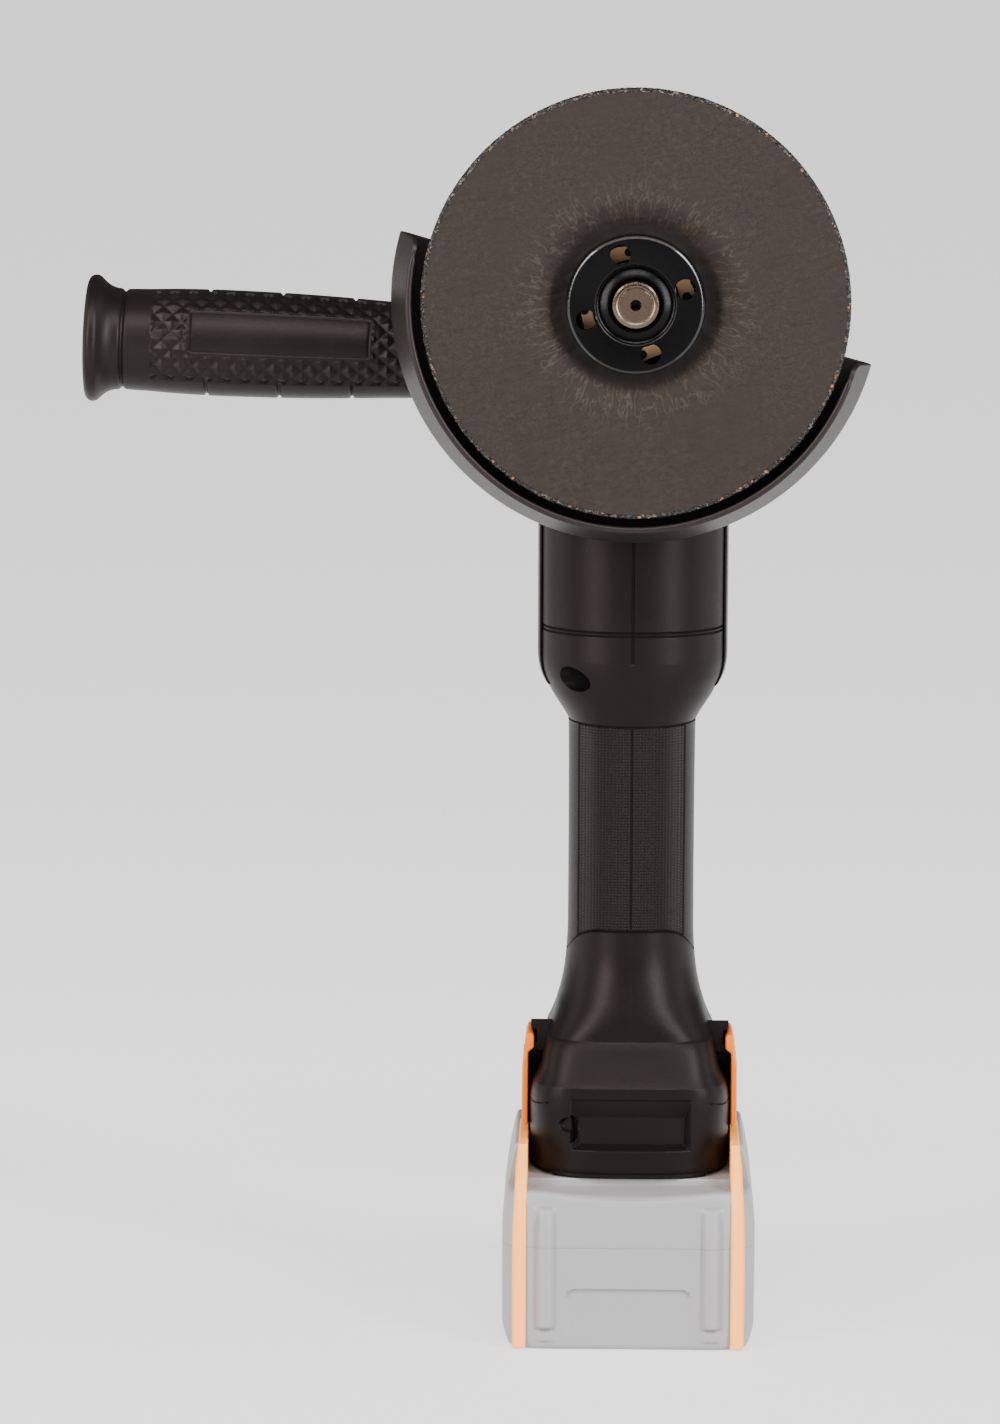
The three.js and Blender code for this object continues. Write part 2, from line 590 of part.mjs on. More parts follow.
function fan() {
  const hub = solid(revolve([[4.3, 255], [23, 255], [23, 256.2], [8, 257], [8, 264], [4.3, 264]], 18, 'z'));
  const blades = [];
  for (let i = 0; i < FAN_BLADES; i++) {
    const blade = box(7.5, 22.6, -0.6, 0.6, 255.4, 264).rotate([0, 0, 360 * i / FAN_BLADES]);
    blades.push(blade);
  }
  return union(hub, ...blades);
}

add('stator_core', statorCore(), STEEL);
add('winding_upper', tube(15.2, 21.5, STATOR_Z[1] + GAP, 250.5, 14, 'z'), COPPER);
add('winding_lower', tube(15.2, 21.5, 209.6, STATOR_Z[0] - GAP, 14, 'z'), COPPER);
add('rotor_core', tube(4.3, ROTOR_RADIUS, 214.5, 245.5, 16, 'z'), STEEL);
add('motor_shaft', motorShaft(), STEEL);
add('fan', fan(), PLASTIC);
add('fan_baffle', tube(12, 24.6, 251.6, 253.6, 18, 'z'), PLASTIC);
const upperBearing = tube(4.3, MOTOR_BEARING_RADIUS, HOUSING_TOP_Z + 0.7, HOUSING_TOP_Z + 7.6, 14, 'z');
add('motor_bearing_upper', upperBearing, STEEL);
add('motor_bearing_lower', tube(3.3, 9.5, 203.4, 208.4, 14, 'z'), STEEL);

// ---- switch and electronics ---------------------------------------------------------------
const SLIDER_OUTLINE = [[29.6, 212], [29.6, 240], [32, 240], [34.4, 236], [32.4, 226], [34, 216], [32, 212]];
const switchSlider = () => union(
  solid(prismYZ(SLIDER_OUTLINE, -9, 9)), box(-3.2, 3.2, 25.6, 30, 222, 236),
);
const switchRod = () => prismYZ([
  [23.7, 236], [23.7, 205], [16.2, 183], [16.2, 168], [17.8, 168], [17.8, 182.6], [25.3, 204.6], [25.3, 236],
], -2.2, 2.2);

function wireHarness() {
  const route = new THREE.CatmullRomCurve3([
    [-10, -6, 82.2], [-11.8, -6, 96], [-12, -6, 125], [-12, -6, 170], [-12.6, -7, 188], [-15, -9, 200],
  ].map((p) => new THREE.Vector3(...p)));
  const circle = new THREE.Shape(arc(0, 0, 1.9, 0, 300, 5).map((p) => new THREE.Vector2(...p)));
  return new THREE.ExtrudeGeometry(circle, { steps: 10, bevelEnabled: false, extrudePath: route });
}

add('switch_slider', switchSlider(), PLASTIC);
add('switch_rod', switchRod(), PLASTIC);
add('switch_module', box(-9, 9, -10, 11, 146, 166), PLASTIC);
add('controller_board', box(-17, 17, -18, 18, 80, 81.8), BOARD);
add('terminal_block', box(-17, 17, -29.2, -18.6, 52.4, 61), PLASTIC);
add('motor_wires', wireHarness(), COPPER);

// ---- side handle --------------------------------------------------------------------------
// Its own axis is X, pointing back at the gear housing, with 0 at the boss face.
const handle = new THREE.Group();
handle.position.set(...HANDLE_ROOT);
handle.rotation.y = rad(HANDLE_TILT_DEG);
group.add(handle);
const CORE_RADIUS = 8.7;

const handleCore = () => revolve([
  [0, 16.5], [3.9, 16.5], [3.9, 0], [12, 0], [12, -3.4], [CORE_RADIUS, -3.4], [CORE_RADIUS, -100], [0, -100],
], 12, 'x');
const handleGrip = () => revolve([
  [CORE_RADIUS + GAP, -100.4], [CORE_RADIUS + GAP, -3.8], [17, -3.8], [19, -5.4], [19, -8], [14, -13],
  [14.8, -45], [16.1, -78], [15.2, -118.5], [14.2, -121.4], [15.4, -124], [17.7, -128.2],
  [19, -130.8], [18.4, -132.2], [0, -133.8], [0, -100.4],
], 20, 'x');

add('handle_core', handleCore(), STEEL, handle);
add('handle_grip', handleGrip(), RUBBER, handle);

// ---- battery ------------------------------------------------------------------------------
const CASE = [
  [0, 36.6, 45.6, 61, 9], [1.4, 38, 47, 62.5, 9], [BATTERY_SPLIT_Z, 38, 47, 62.5, 9],
  [39.4, 37.6, 46.4, 62.2, 9], [BATTERY_TOP_Z, 36.4, 45, 61.4, 9],
];
const CAVITY = [35.2, 43.6, 55.8]; // half width, front and back
const STRIP_TOP_Z = 59.6;
const LATCH_X = 13;
const LATCH_Z = [40, 47.6];

function caseSolid() {
  const body = solid(loft(CASE, 0, 24));
  const [x, front, back] = CAVITY;
  return cut(body, box(-x, x, -front, back, 2.6, BATTERY_TOP_Z - 2.6));
}

// A bar standing on a front corner of the case.
function cornerStrip(sign) {
  const outline = [[31, -47.4], [34.2, -46.8], [36.4, -45.2], [36.4, -42], [31, -42]];
  const shape = new THREE.Shape(outline.map(([x, y]) => new THREE.Vector2(sign * x, y)));
  const bar = new THREE.ExtrudeGeometry(shape, { depth: BATTERY_TOP_Z - 1.4, bevelEnabled: false });
  return bar.translate(0, 0, 0.8);
}

function batteryUpper() {
  const z0 = BATTERY_SPLIT_Z + GAP;
  const cheeks = [-1, 1].map((sign) => {
    const outline = [[30.9, 46], [36.4, 46], [33.4, STRIP_TOP_Z], [31, STRIP_TOP_Z]];
    return solid(prismXZ(outline.map(([x, z]) => [sign * x, z]), -26, 26));
  });
  const neck = box(-RAIL_NECK_X, RAIL_NECK_X, -17.5, 36, BATTERY_TOP_Z - 1, RAIL_Z + 1);
  const rail = box(-RAIL_HEAD_X, RAIL_HEAD_X, -17.5, 36, RAIL_Z + GAP, RAIL_TOP_Z);
  const body = union(caseSolid(), ...cheeks, neck, rail);
  const pocket = box(-LATCH_X - 0.4, LATCH_X + 0.4, 56.6, FAR, 36.4, 80);
  const springHole = solid(rod(2.8, 33, 40, 10, 'z')).translate([0, 59.6, 0]);
  return cut(body, pocket, springHole, box(-FAR, FAR, -FAR, FAR, -5, z0), stripPocket(-1), stripPocket(1));
}

const stripPocket = (sign) => box(...(sign < 0 ? [-FAR, -30.7] : [30.7, FAR]), -FAR, -41.7, -5, FAR);
const batteryLower = () =>
  cut(caseSolid(), box(-FAR, FAR, -FAR, FAR, BATTERY_SPLIT_Z, FAR), stripPocket(-1), stripPocket(1));

// Five cells side by side, joined by the welded tab at one end.
function cellRow(z) {
  const cells = [];
  for (let i = 0; i < 5; i++) {
    const y = -32.5 + CELL_PITCH * i;
    cells.push(across(CELL_RADIUS, -CELL_HALF_LENGTH, CELL_HALF_LENGTH, y, z, 10));
  }
  const tab = box(CELL_HALF_LENGTH - 0.2, CELL_HALF_LENGTH + 0.4, -36, 49, z - 3, z + 3);
  return union(...cells, tab);
}

add('battery_lower', batteryLower(), PALE_GREY);
add('battery_upper', batteryUpper(), PALE_GREY);
add('battery_strip_left', cornerStrip(-1), PALE_ORANGE);
add('battery_strip_right', cornerStrip(1), PALE_ORANGE);
add('cell_row_lower', cellRow(12.6), CELL_SLEEVE);
add('cell_row_upper', cellRow(32.2), CELL_SLEEVE);
add('battery_board', box(-30, 30, -40, 52, 42.6, 44.2), BOARD);
add('battery_latch', box(-LATCH_X, LATCH_X, 57, 64.4, ...LATCH_Z), PALE_ORANGE);
add('latch_spring', tube(1.4, 2.4, 33.4, LATCH_Z[0] - GAP, 10, 'z'), STEEL).position.y = 59.6;

export default group;
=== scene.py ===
"""Looks for a cordless angle grinder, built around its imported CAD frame. Lengths are in millimetres."""
import math

import bmesh
import bpy
import numpy as np
from mathutils import Matrix, Vector


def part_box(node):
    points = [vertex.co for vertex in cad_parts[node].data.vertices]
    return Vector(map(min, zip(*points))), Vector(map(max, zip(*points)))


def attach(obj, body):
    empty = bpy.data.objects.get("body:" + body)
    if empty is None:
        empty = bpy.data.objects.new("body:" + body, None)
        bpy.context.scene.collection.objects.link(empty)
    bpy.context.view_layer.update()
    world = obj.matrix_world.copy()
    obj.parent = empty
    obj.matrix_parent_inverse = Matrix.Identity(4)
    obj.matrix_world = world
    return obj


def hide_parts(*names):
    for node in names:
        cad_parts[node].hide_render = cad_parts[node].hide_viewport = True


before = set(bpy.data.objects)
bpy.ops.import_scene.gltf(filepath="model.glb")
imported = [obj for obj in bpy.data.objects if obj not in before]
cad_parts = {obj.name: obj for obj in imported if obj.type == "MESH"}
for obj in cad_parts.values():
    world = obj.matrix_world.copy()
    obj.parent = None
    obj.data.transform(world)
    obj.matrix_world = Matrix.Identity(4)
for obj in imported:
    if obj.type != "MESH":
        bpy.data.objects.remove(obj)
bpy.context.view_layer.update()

MM = 0.001
SIDES = (("left", -1), ("right", 1))
rng = np.random.default_rng(7)


# ---- places taken from the frame ----

def span(node):
    """Lowest and highest corner of a CAD node, in mm."""
    low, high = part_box(node)
    return np.array(low) / MM, np.array(high) / MM


disc_low, disc_high = span("grinding_disc")
shell_low, shell_high = span("shell_left")
case_low, case_high = span("battery_lower")
nut_low, nut_high = span("lock_nut")

SPINDLE_Z = (disc_low[2] + disc_high[2]) / 2
DISC_R = (disc_high[0] - disc_low[0]) / 2
DISC_FACE = disc_low[1]
DISC_THICK = 6.0
HUB_SET_BACK = 4.6
HUB_FACE = DISC_FACE + HUB_SET_BACK
NUT_FACE = nut_low[1]
NUT_R = (nut_high[0] - nut_low[0]) / 2
TIP_Y = span("spindle")[0][1]
FOOT_Z = shell_low[2] + 2.7  # the skin's edge; a lip reaches lower
SHELL_TOP = shell_high[2]


# ---- materials ----

class Look:
    """A Principled material with a small node graph on object coordinates, in metres."""

    def __init__(self, name, color, roughness, metallic=0.0, specular=0.5, gloss_tint=(1, 1, 1)):
        self.mat = bpy.data.materials.new(name)
        self.mat.use_nodes = True
        self.tree = self.mat.node_tree
        self.sockets = self.tree.nodes["Principled BSDF"].inputs
        for socket, value in (
            ("Base Color", (*color, 1)), ("Roughness", roughness), ("Metallic", metallic),
            ("Specular IOR Level", specular), ("Specular Tint", (*gloss_tint, 1)),
        ):
            self.sockets[socket].default_value = value
        self.coords = self.node("ShaderNodeTexCoord").outputs["Object"]
        self.color, self.roughness = color, roughness
        self.last_bump = None

    def put(self, socket, value):
        """Links another node's output to a socket, or sets the socket to a plain value."""
        if isinstance(value, bpy.types.NodeSocket):
            self.tree.links.new(value, socket)
        else:
            socket.default_value = value

    def node(self, kind, inputs=None, **settings):
        made = self.tree.nodes.new(kind)
        for key, value in settings.items():
            setattr(made, key, value)
        for key, value in (inputs or {}).items():
            self.put(made.inputs[key], value)
        return made

    def mapped(self, source, key, value):
        return self.node("ShaderNodeMapping", {"Vector": source, key: value}).outputs["Vector"]

    def noise(self, per_metre, detail=3.0, source=None):
        inputs = {"Scale": per_metre, "Detail": detail, "Vector": source or self.coords}
        return self.node("ShaderNodeTexNoise", inputs).outputs["Fac"]

    def remap(self, source, low, high, to_low, to_high):
        inputs = {"Value": source, "From Min": low, "From Max": high, "To Min": to_low, "To Max": to_high}
        return self.node("ShaderNodeMapRange", inputs).outputs["Result"]

    def math(self, operation, *values):
        return self.node("ShaderNodeMath", dict(enumerate(values)), operation=operation).outputs[0]

    def ridge(self, source, width):
        """1 where a noise crosses its middle value, falling to 0 within the width: thin wavy lines."""
        return self.remap(self.math("ABSOLUTE", self.math("SUBTRACT", source, 0.5)), 0, width, 1, 0)

    def vary_color(self, factor, other, low=0.35, high=0.65):
        """Mixes towards another colour where the factor is high."""
        base = self.sockets["Base Color"]
        before = base.links[0].from_socket if base.is_linked else (*self.color, 1)
        inputs = {"Factor": self.remap(factor, low, high, 0, 1), "A": before, "B": (*other, 1)}
        self.put(base, self.node("ShaderNodeMix", inputs, data_type="RGBA").outputs["Result"])

    def vary_roughness(self, factor, low, high):
        self.put(self.sockets["Roughness"], self.remap(factor, 0.3, 0.7, low, high))

    def bump(self, height, strength, depth_mm):
        inputs = {"Strength": strength, "Distance": depth_mm * MM, "Height": height}
        if self.last_bump:
            inputs["Normal"] = self.last_bump
        self.last_bump = self.node("ShaderNodeBump", inputs).outputs["Normal"]
        self.put(self.sockets["Normal"], self.last_bump)


def surface(name, color, tint, roughness, spread, gloss, size, depth, gloss_tint=(1, 1, 1), metallic=0.0):
    """A material with fine grain of a size and depth in mm, and with patchy colour and gloss."""
    look = Look(name, color, roughness, metallic, gloss, gloss_tint)
    fine = look.noise(1000 / size, 2.0)
    look.vary_color(look.noise(45, 3.0), tint)
    look.vary_roughness(fine, roughness - spread, roughness + spread)
    look.bump(fine, 0.6, depth)
    return look.mat


def black(*values):
    """A black that mirrors lamps slightly warm."""
    return surface(*values, gloss_tint=(1.0, 0.84, 0.83))


def steel(name, color, tint, roughness):
    return surface(name, color, tint, roughness, 0.08, 0.5, 0.5, 0.012, metallic=1.0)


def plain(name, color, tint, roughness, gloss=0.5, size=0.7, depth=0.02):
    return surface(name, color, tint, roughness, 0.04, gloss, size, depth)


def disc_cloth():
    """Crinkled brown-grey cloth: fuzz, wrinkles both ways, radial creases with painted highlights, and
    painted shade darkening it towards the hub.
    """
    look = Look("disc_cloth", (0.0167, 0.0122, 0.0101), 0.8, specular=0.15)
    look.vary_color(look.noise(1500, 4.0), (0.0125, 0.0089, 0.0073), 0.42, 0.6)
    look.vary_color(look.noise(600, 3.0), (0.0213, 0.0158, 0.0125), 0.52, 0.72)
    look.vary_color(look.noise(60, 2.0), (0.0144, 0.0104, 0.0087), 0.45, 0.7)
    turned = look.mapped(look.coords, "Rotation", (0, math.radians(13), 0))
    for stretch, scale, width, tint in (
        ((0.24, 1, 1), 420, 0.02, (0.0097, 0.0068, 0.0057)),
        ((0.3, 1, 1), 700, 0.018, (0.0209, 0.0158, 0.0128)),
        ((1, 1, 0.12), 330, 0.012, (0.0118, 0.0085, 0.0070)),
    ):
        crease = look.noise(scale, 2, look.mapped(turned, "Scale", stretch))
        look.vary_color(look.ridge(crease, width), tint, 0.0, 1.6)
        look.bump(crease, 0.7, 0.25)
    distance, radial = hub_distance(look)
    rising = look.remap(distance, 21 * MM, 25 * MM, 0, 1)
    fade = look.math("MULTIPLY", rising, look.remap(distance, 30 * MM, 41 * MM, 1, 0))
    # Painted highlight: lighter radial lines along the creases round the hub, where light catches the
    # wrinkles.
    crease_highlights = look.math("MULTIPLY", look.ridge(radial, 0.035), fade)
    look.vary_color(crease_highlights, (0.0394, 0.0288, 0.0213), 0.15, 1.3)
    look.bump(look.math("MULTIPLY", radial, fade), 0.9, 0.9)
    # Painted shade: the cloth darkens towards the hub, in the hollow round the nut.
    look.vary_color(distance, (0.0058, 0.0043, 0.0036), 26.5 * MM, 22 * MM)
    look.bump(look.noise(1600, 3.0), 0.8, 0.12)
    look.bump(look.noise(5200, 2.0), 0.6, 0.05)
    return look.mat


def hub_distance(look):
    """Distance from the spindle axis in metres, and a noise drawn out along the radius."""
    split = look.node("ShaderNodeSeparateXYZ", {"Vector": look.coords}).outputs
    across, rise = split["X"], look.math("SUBTRACT", split["Z"], SPINDLE_Z * MM)
    squares = [look.math("MULTIPLY", value, value) for value in (across, rise)]
    distance = look.math("SQRT", look.math("ADD", *squares))
    place = {"Y": look.math("MULTIPLY", distance, 130.0)}
    for axis, value in (("X", across), ("Z", rise)):
        place[axis] = look.math("MULTIPLY", look.math("DIVIDE", value, distance), 13.0)
    drawn_out = look.node("ShaderNodeCombineXYZ", place).outputs["Vector"]
    return distance, look.noise(1.0, 2.5, drawn_out)


def disc_grit():
    """Bare abrasive: black resin with glinting grains and a few orange ones."""
    look = Look("disc_grit", (0.006, 0.005, 0.0048), 0.5, specular=0.3)
    cells = look.node("ShaderNodeTexVoronoi", {"Scale": 1500, "Vector": look.coords}).outputs
    hue = look.node("ShaderNodeSeparateColor", {"Color": cells["Color"]}).outputs
    look.vary_color(hue[0], (0.06, 0.05, 0.043), 0.8, 0.88)
    look.vary_color(hue[1], (0.24, 0.08, 0.03), 0.968, 0.98)
    look.put(look.sockets["Roughness"], look.remap(hue[2], 0, 1, 0.2, 0.75))
    look.bump(cells["Distance"], 1.0, 0.5)
    return look.mat


GRIP_BLACK, RUBBER_BLACK = (0.004, 0.0033, 0.0032), (0.004, 0.0032, 0.0031)
MOULDED = ((0.0034, 0.0028, 0.0027), (0.0044, 0.0036, 0.0035))
STEEL_BLACK = ((0.0012, 0.0012, 0.0014), (0.0018, 0.0018, 0.0021))
# Name, colour, patch colour, roughness, its spread, gloss, grain size and grain depth.
SHELL = black("housing_plastic", *MOULDED, 0.4, 0.06, 0.095, 0.45, 0.05)
SHELL_SMOOTH = black("housing_smooth", *MOULDED, 0.36, 0.06, 0.095, 0.45, 0.05)
GRIP = black("grip_pyramids", GRIP_BLACK, (0.0052, 0.0043, 0.0042), 0.36, 0.05, 0.125, 0.3, 0.015)
RUBBER = black("handle_rubber", RUBBER_BLACK, (0.0055, 0.0044, 0.0043), 0.42, 0.06, 0.13, 0.6, 0.03)
CAST = black("cast_housing", (0.012, 0.0105, 0.0102), (0.015, 0.0132, 0.0128), 0.42, 0.06, 0.35, 1.2, 0.06)
GUARD = black("guard_paint", (0.0065, 0.0052, 0.0048), (0.008, 0.0065, 0.006), 0.43, 0.04, 0.2, 0.9, 0.012)
OXIDE = surface("black_oxide", *STEEL_BLACK, 0.24, 0.05, 0.075, 0.8, 0.006)
CLOTH = disc_cloth()
GRIT = disc_grit()
# Name, colour, patch colour, roughness.
# Steel for the nut's rim: the lighter, glossier one is a painted highlight at the sides facing the lamps,
# the darker one painted shade at the top and bottom and the lip's dull steel.
RIM_HIGHLIGHT = steel("rim_painted_highlight", (0.05, 0.05, 0.051), (0.035, 0.035, 0.036), 0.16)
DULL_EDGE_AND_SHADE = steel("dull_edge_and_shade", (0.035, 0.032, 0.03), (0.028, 0.026, 0.024), 0.4)
BRIGHT = steel("bright_steel", (0.5, 0.48, 0.45), (0.42, 0.4, 0.37), 0.32)
PLATED = steel("plated_steel", (0.132, 0.096, 0.072), (0.097, 0.07, 0.052), 0.27)
COPPER = steel("copper", (0.55, 0.22, 0.08), (0.45, 0.17, 0.06), 0.35)
ORANGE = plain("orange_plastic", (0.62, 0.14, 0.0), (0.56, 0.12, 0.0), 0.4, gloss=0.25)
PALE = plain("pale_plastic", (0.222, 0.217, 0.22), (0.225, 0.22, 0.222), 0.45)
PALE_ORANGE = plain("pale_orange", (1.0, 0.38, 0.07), (0.98, 0.365, 0.065), 0.5, gloss=0.2)
BOARD = plain("circuit_board", (0.02, 0.1, 0.04), (0.03, 0.13, 0.05), 0.4)
SLEEVE = plain("cell_sleeve", (0.04, 0.16, 0.36), (0.05, 0.18, 0.4), 0.35)
DARK = plain("inner_dark", (0.0022, 0.002, 0.002), (0.003, 0.0027, 0.0027), 0.7, gloss=0.05)
PAPER = plain("label_paper", (0.92, 0.57, 0.32), (0.62, 0.36, 0.19), 0.75, size=0.5, depth=0.08)


# ---- mesh helpers ----

def shade(mesh, sharp):
    mesh.shade_smooth()
    mesh.set_sharp_from_angle(angle=math.radians(sharp))


def make(name, verts, faces, mats, body, node=None, sharp=32, slots=None):
    """Makes a piece from points, or rows of points, in mm, on a body and standing for a CAD node."""
    mesh = bpy.data.meshes.new(name)
    mesh.from_pydata((np.reshape(verts, (-1, 3)) * MM).tolist(), [], faces)
    for mat in mats if isinstance(mats, list) else [mats]:
        mesh.materials.append(mat)
    if slots is not None:
        mesh.polygons.foreach_set("material_index", np.asarray(slots, dtype=np.int32))
    work = bmesh.new()
    work.from_mesh(mesh)
    bmesh.ops.remove_doubles(work, verts=work.verts, dist=2e-6)
    bmesh.ops.recalc_face_normals(work, faces=work.faces)
    work.to_mesh(mesh)
    work.free()
    shade(mesh, sharp)
    obj = bpy.data.objects.new(name, mesh)
    bpy.context.scene.collection.objects.link(obj)
    if body:
        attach(obj, body)
    if node:
        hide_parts(node)
    return obj


def grid_faces(rows, cols, wrap_cols=False, wrap_rows=False):
    faces = []
    for r in range(rows if wrap_rows else rows - 1):
        for c in range(cols if wrap_cols else cols - 1):
            r2, c2 = (r + 1) % rows, (c + 1) % cols
            faces.append((r * cols + c, r * cols + c2, r2 * cols + c2, r2 * cols + c))
    return faces


def tube_faces(rows, cols):
    """Faces of stacked closed rings, with a face over each end."""
    ends = [tuple(range(cols)), tuple(range((rows - 1) * cols, rows * cols))]
    return grid_faces(rows, cols, True) + ends


def bevel(obj, width_mm, segments=3, angle=30):
    mod = obj.modifiers.new("edges", "BEVEL")
    mod.width = width_mm * MM
    mod.segments = segments
    mod.limit_method = "ANGLE"
    mod.angle_limit = math.radians(angle)
    mod.harden_normals = False
    return obj


def thicken(obj, wall_mm, offset):
    mod = obj.modifiers.new("sheet", "SOLIDIFY")
    mod.thickness = wall_mm * MM
    mod.offset = offset


def apply_modifiers(obj):
    """Bakes an object's modifiers into its own mesh."""
    graph = bpy.context.evaluated_depsgraph_get()
    mesh = bpy.data.meshes.new_from_object(obj.evaluated_get(graph))
    obj.modifiers.clear()
    old = obj.data
    obj.data = mesh
    bpy.data.meshes.remove(old)


def carve(obj, cutters, operation="DIFFERENCE", sharp=32):
    """Booleans an object with cutters, which are removed afterwards."""
    for other in cutters:
        mod = obj.modifiers.new("cut", "BOOLEAN")
        mod.operation = operation
        mod.solver = "MANIFOLD"
        mod.object = other
    apply_modifiers(obj)
    for other in cutters:
        bpy.data.meshes.remove(other.data)
    shade(obj.data, sharp)


def box_mesh(x0, x1, y0, y1, z0, z1):
    verts = [(x, y, z) for x in (x0, x1) for y in (y0, y1) for z in (z0, z1)]
    faces = [(0, 1, 3, 2), (4, 6, 7, 5), (0, 4, 5, 1), (2, 3, 7, 6), (0, 2, 6, 4), (1, 5, 7, 3)]
    return verts, faces


def cutter(mesh):
    """A piece that is only there to cut or to join, and is on no body."""
    return make("cutter", *mesh, [], None)


def axis_frame(axis):
    """Two unit vectors across an axis, then the axis."""
    along = np.array(axis, float) / np.linalg.norm(axis)
    helper = np.array([0, 0, 1.0]) if abs(along[2]) < 0.9 else np.array([1.0, 0, 0])
    first = np.cross(helper, along)
    first /= np.linalg.norm(first)
    return first, np.cross(along, first), along


def spindle_origin(x=0.0, z=0.0):
    return (x, 0, SPINDLE_Z + z)


def full_turn(count):
    return np.arange(count) * 2 * math.pi / count


def lathe_mesh(profile, segments, axis=(0, 1, 0), origin=spindle_origin()):
    """Revolves [radius, height] pairs; a pair with radius 0 becomes one point."""
    e1, e2, along = axis_frame(axis)
    angles = full_turn(segments)
    circle = np.cos(angles)[:, None] * e1 + np.sin(angles)[:, None] * e2
    rows = [radius * circle + height * along + np.array(origin) for radius, height in profile]
    closes = profile[0][0] > 0 and profile[-1][0] > 0
    return np.concatenate(rows), grid_faces(len(profile), segments, True, closes)


def rod(radius, low, high, axis=(0, 1, 0), origin=spindle_origin(), segments=48):
    profile = [(0, low), (radius, low), (radius, high), (0, high)]
    return cutter(lathe_mesh(profile, segments, axis, origin))


def spindle_ring(radius, y, angles):
    """Points round the spindle axis. The radius and y are one value or one for each point."""
    level = y * np.ones_like(radius * angles)
    return np.stack([radius * np.cos(angles), level, SPINDLE_Z + radius * np.sin(angles)], axis=1)


def prism_mesh(outline, low, high, place):
    """Extrudes a closed outline; place(u, v, w) gives the point for outline (u, v) at depth w."""
    count = len(outline)
    verts = [place(u, v, low) for u, v in outline] + [place(u, v, high) for u, v in outline]
    faces = [(i, (i + 1) % count, count + (i + 1) % count, count + i) for i in range(count)]
    return verts, faces + [tuple(range(count)), tuple(range(2 * count - 1, count - 1, -1))]


def facing(u, v, w):
    """An outline round the spindle, seen from the front, and its depth along Y."""
    return (u, w, SPINDLE_Z + v)


def upright(u, v, w):
    """An outline seen from above, and its height."""
    return (u, v, w)


def sideways(sign):
    """An outline of distance from the middle and height, on one side, and its depth along Y."""
    return lambda u, v, w: (sign * u, w, v)


def arc(cx, cy, radius, start, end, steps):
    angles = np.radians(np.linspace(start, end, steps + 1))
    return [(cx + radius * math.cos(a), cy + radius * math.sin(a)) for a in angles]


def smoothstep(low, high, value):
    t = np.clip((value - low) / (high - low), 0, 1)
    return t * t * (3 - 2 * t)


def groove(distance, half_width):
    """1 in the middle of a line, falling to 0 at its edges."""
    return np.clip(1 - np.abs(distance) / half_width, 0, 1)


def monotone(xs, ys, at):
    """Smooth curve through points without overshoot."""
    xs, ys = np.array(xs, float), np.array(ys, float)
    gaps = np.diff(xs)
    slopes = np.diff(ys) / gaps
    tangents = np.zeros_like(ys)
    tangents[0], tangents[-1] = slopes[0], slopes[-1]
    product = slopes[:-1] * slopes[1:]
    same = product > 0
    tangents[1:-1] = np.where(same, 2 * product / np.where(same, slopes[:-1] + slopes[1:], 1), 0)
    k = np.clip(np.searchsorted(xs, at) - 1, 0, len(xs) - 2)
    t = (at - xs[k]) / gaps[k]
    h00, h10 = 2 * t**3 - 3 * t**2 + 1, t**3 - 2 * t**2 + t
    h01, h11 = -2 * t**3 + 3 * t**2, t**3 - t**2
    return h00 * ys[k] + h10 * gaps[k] * tangents[k] + h01 * ys[k + 1] + h11 * gaps[k] * tangents[k + 1]


def curve_values(table, at):
    """Values of a table's other columns where its first column reaches the given places."""
    columns = list(zip(*table))
    return [monotone(columns[0], column, np.asarray(at)) for column in columns[1:]]


# ---- grinding disc ----

CLOTH_EDGE = DISC_R - 1.35
DISC_SIDES = 900
DISC_BORE = 12.7
PIN_CIRCLE = 15.0
PIN_TURN = 17.5  # degrees from +X to the first pin hole


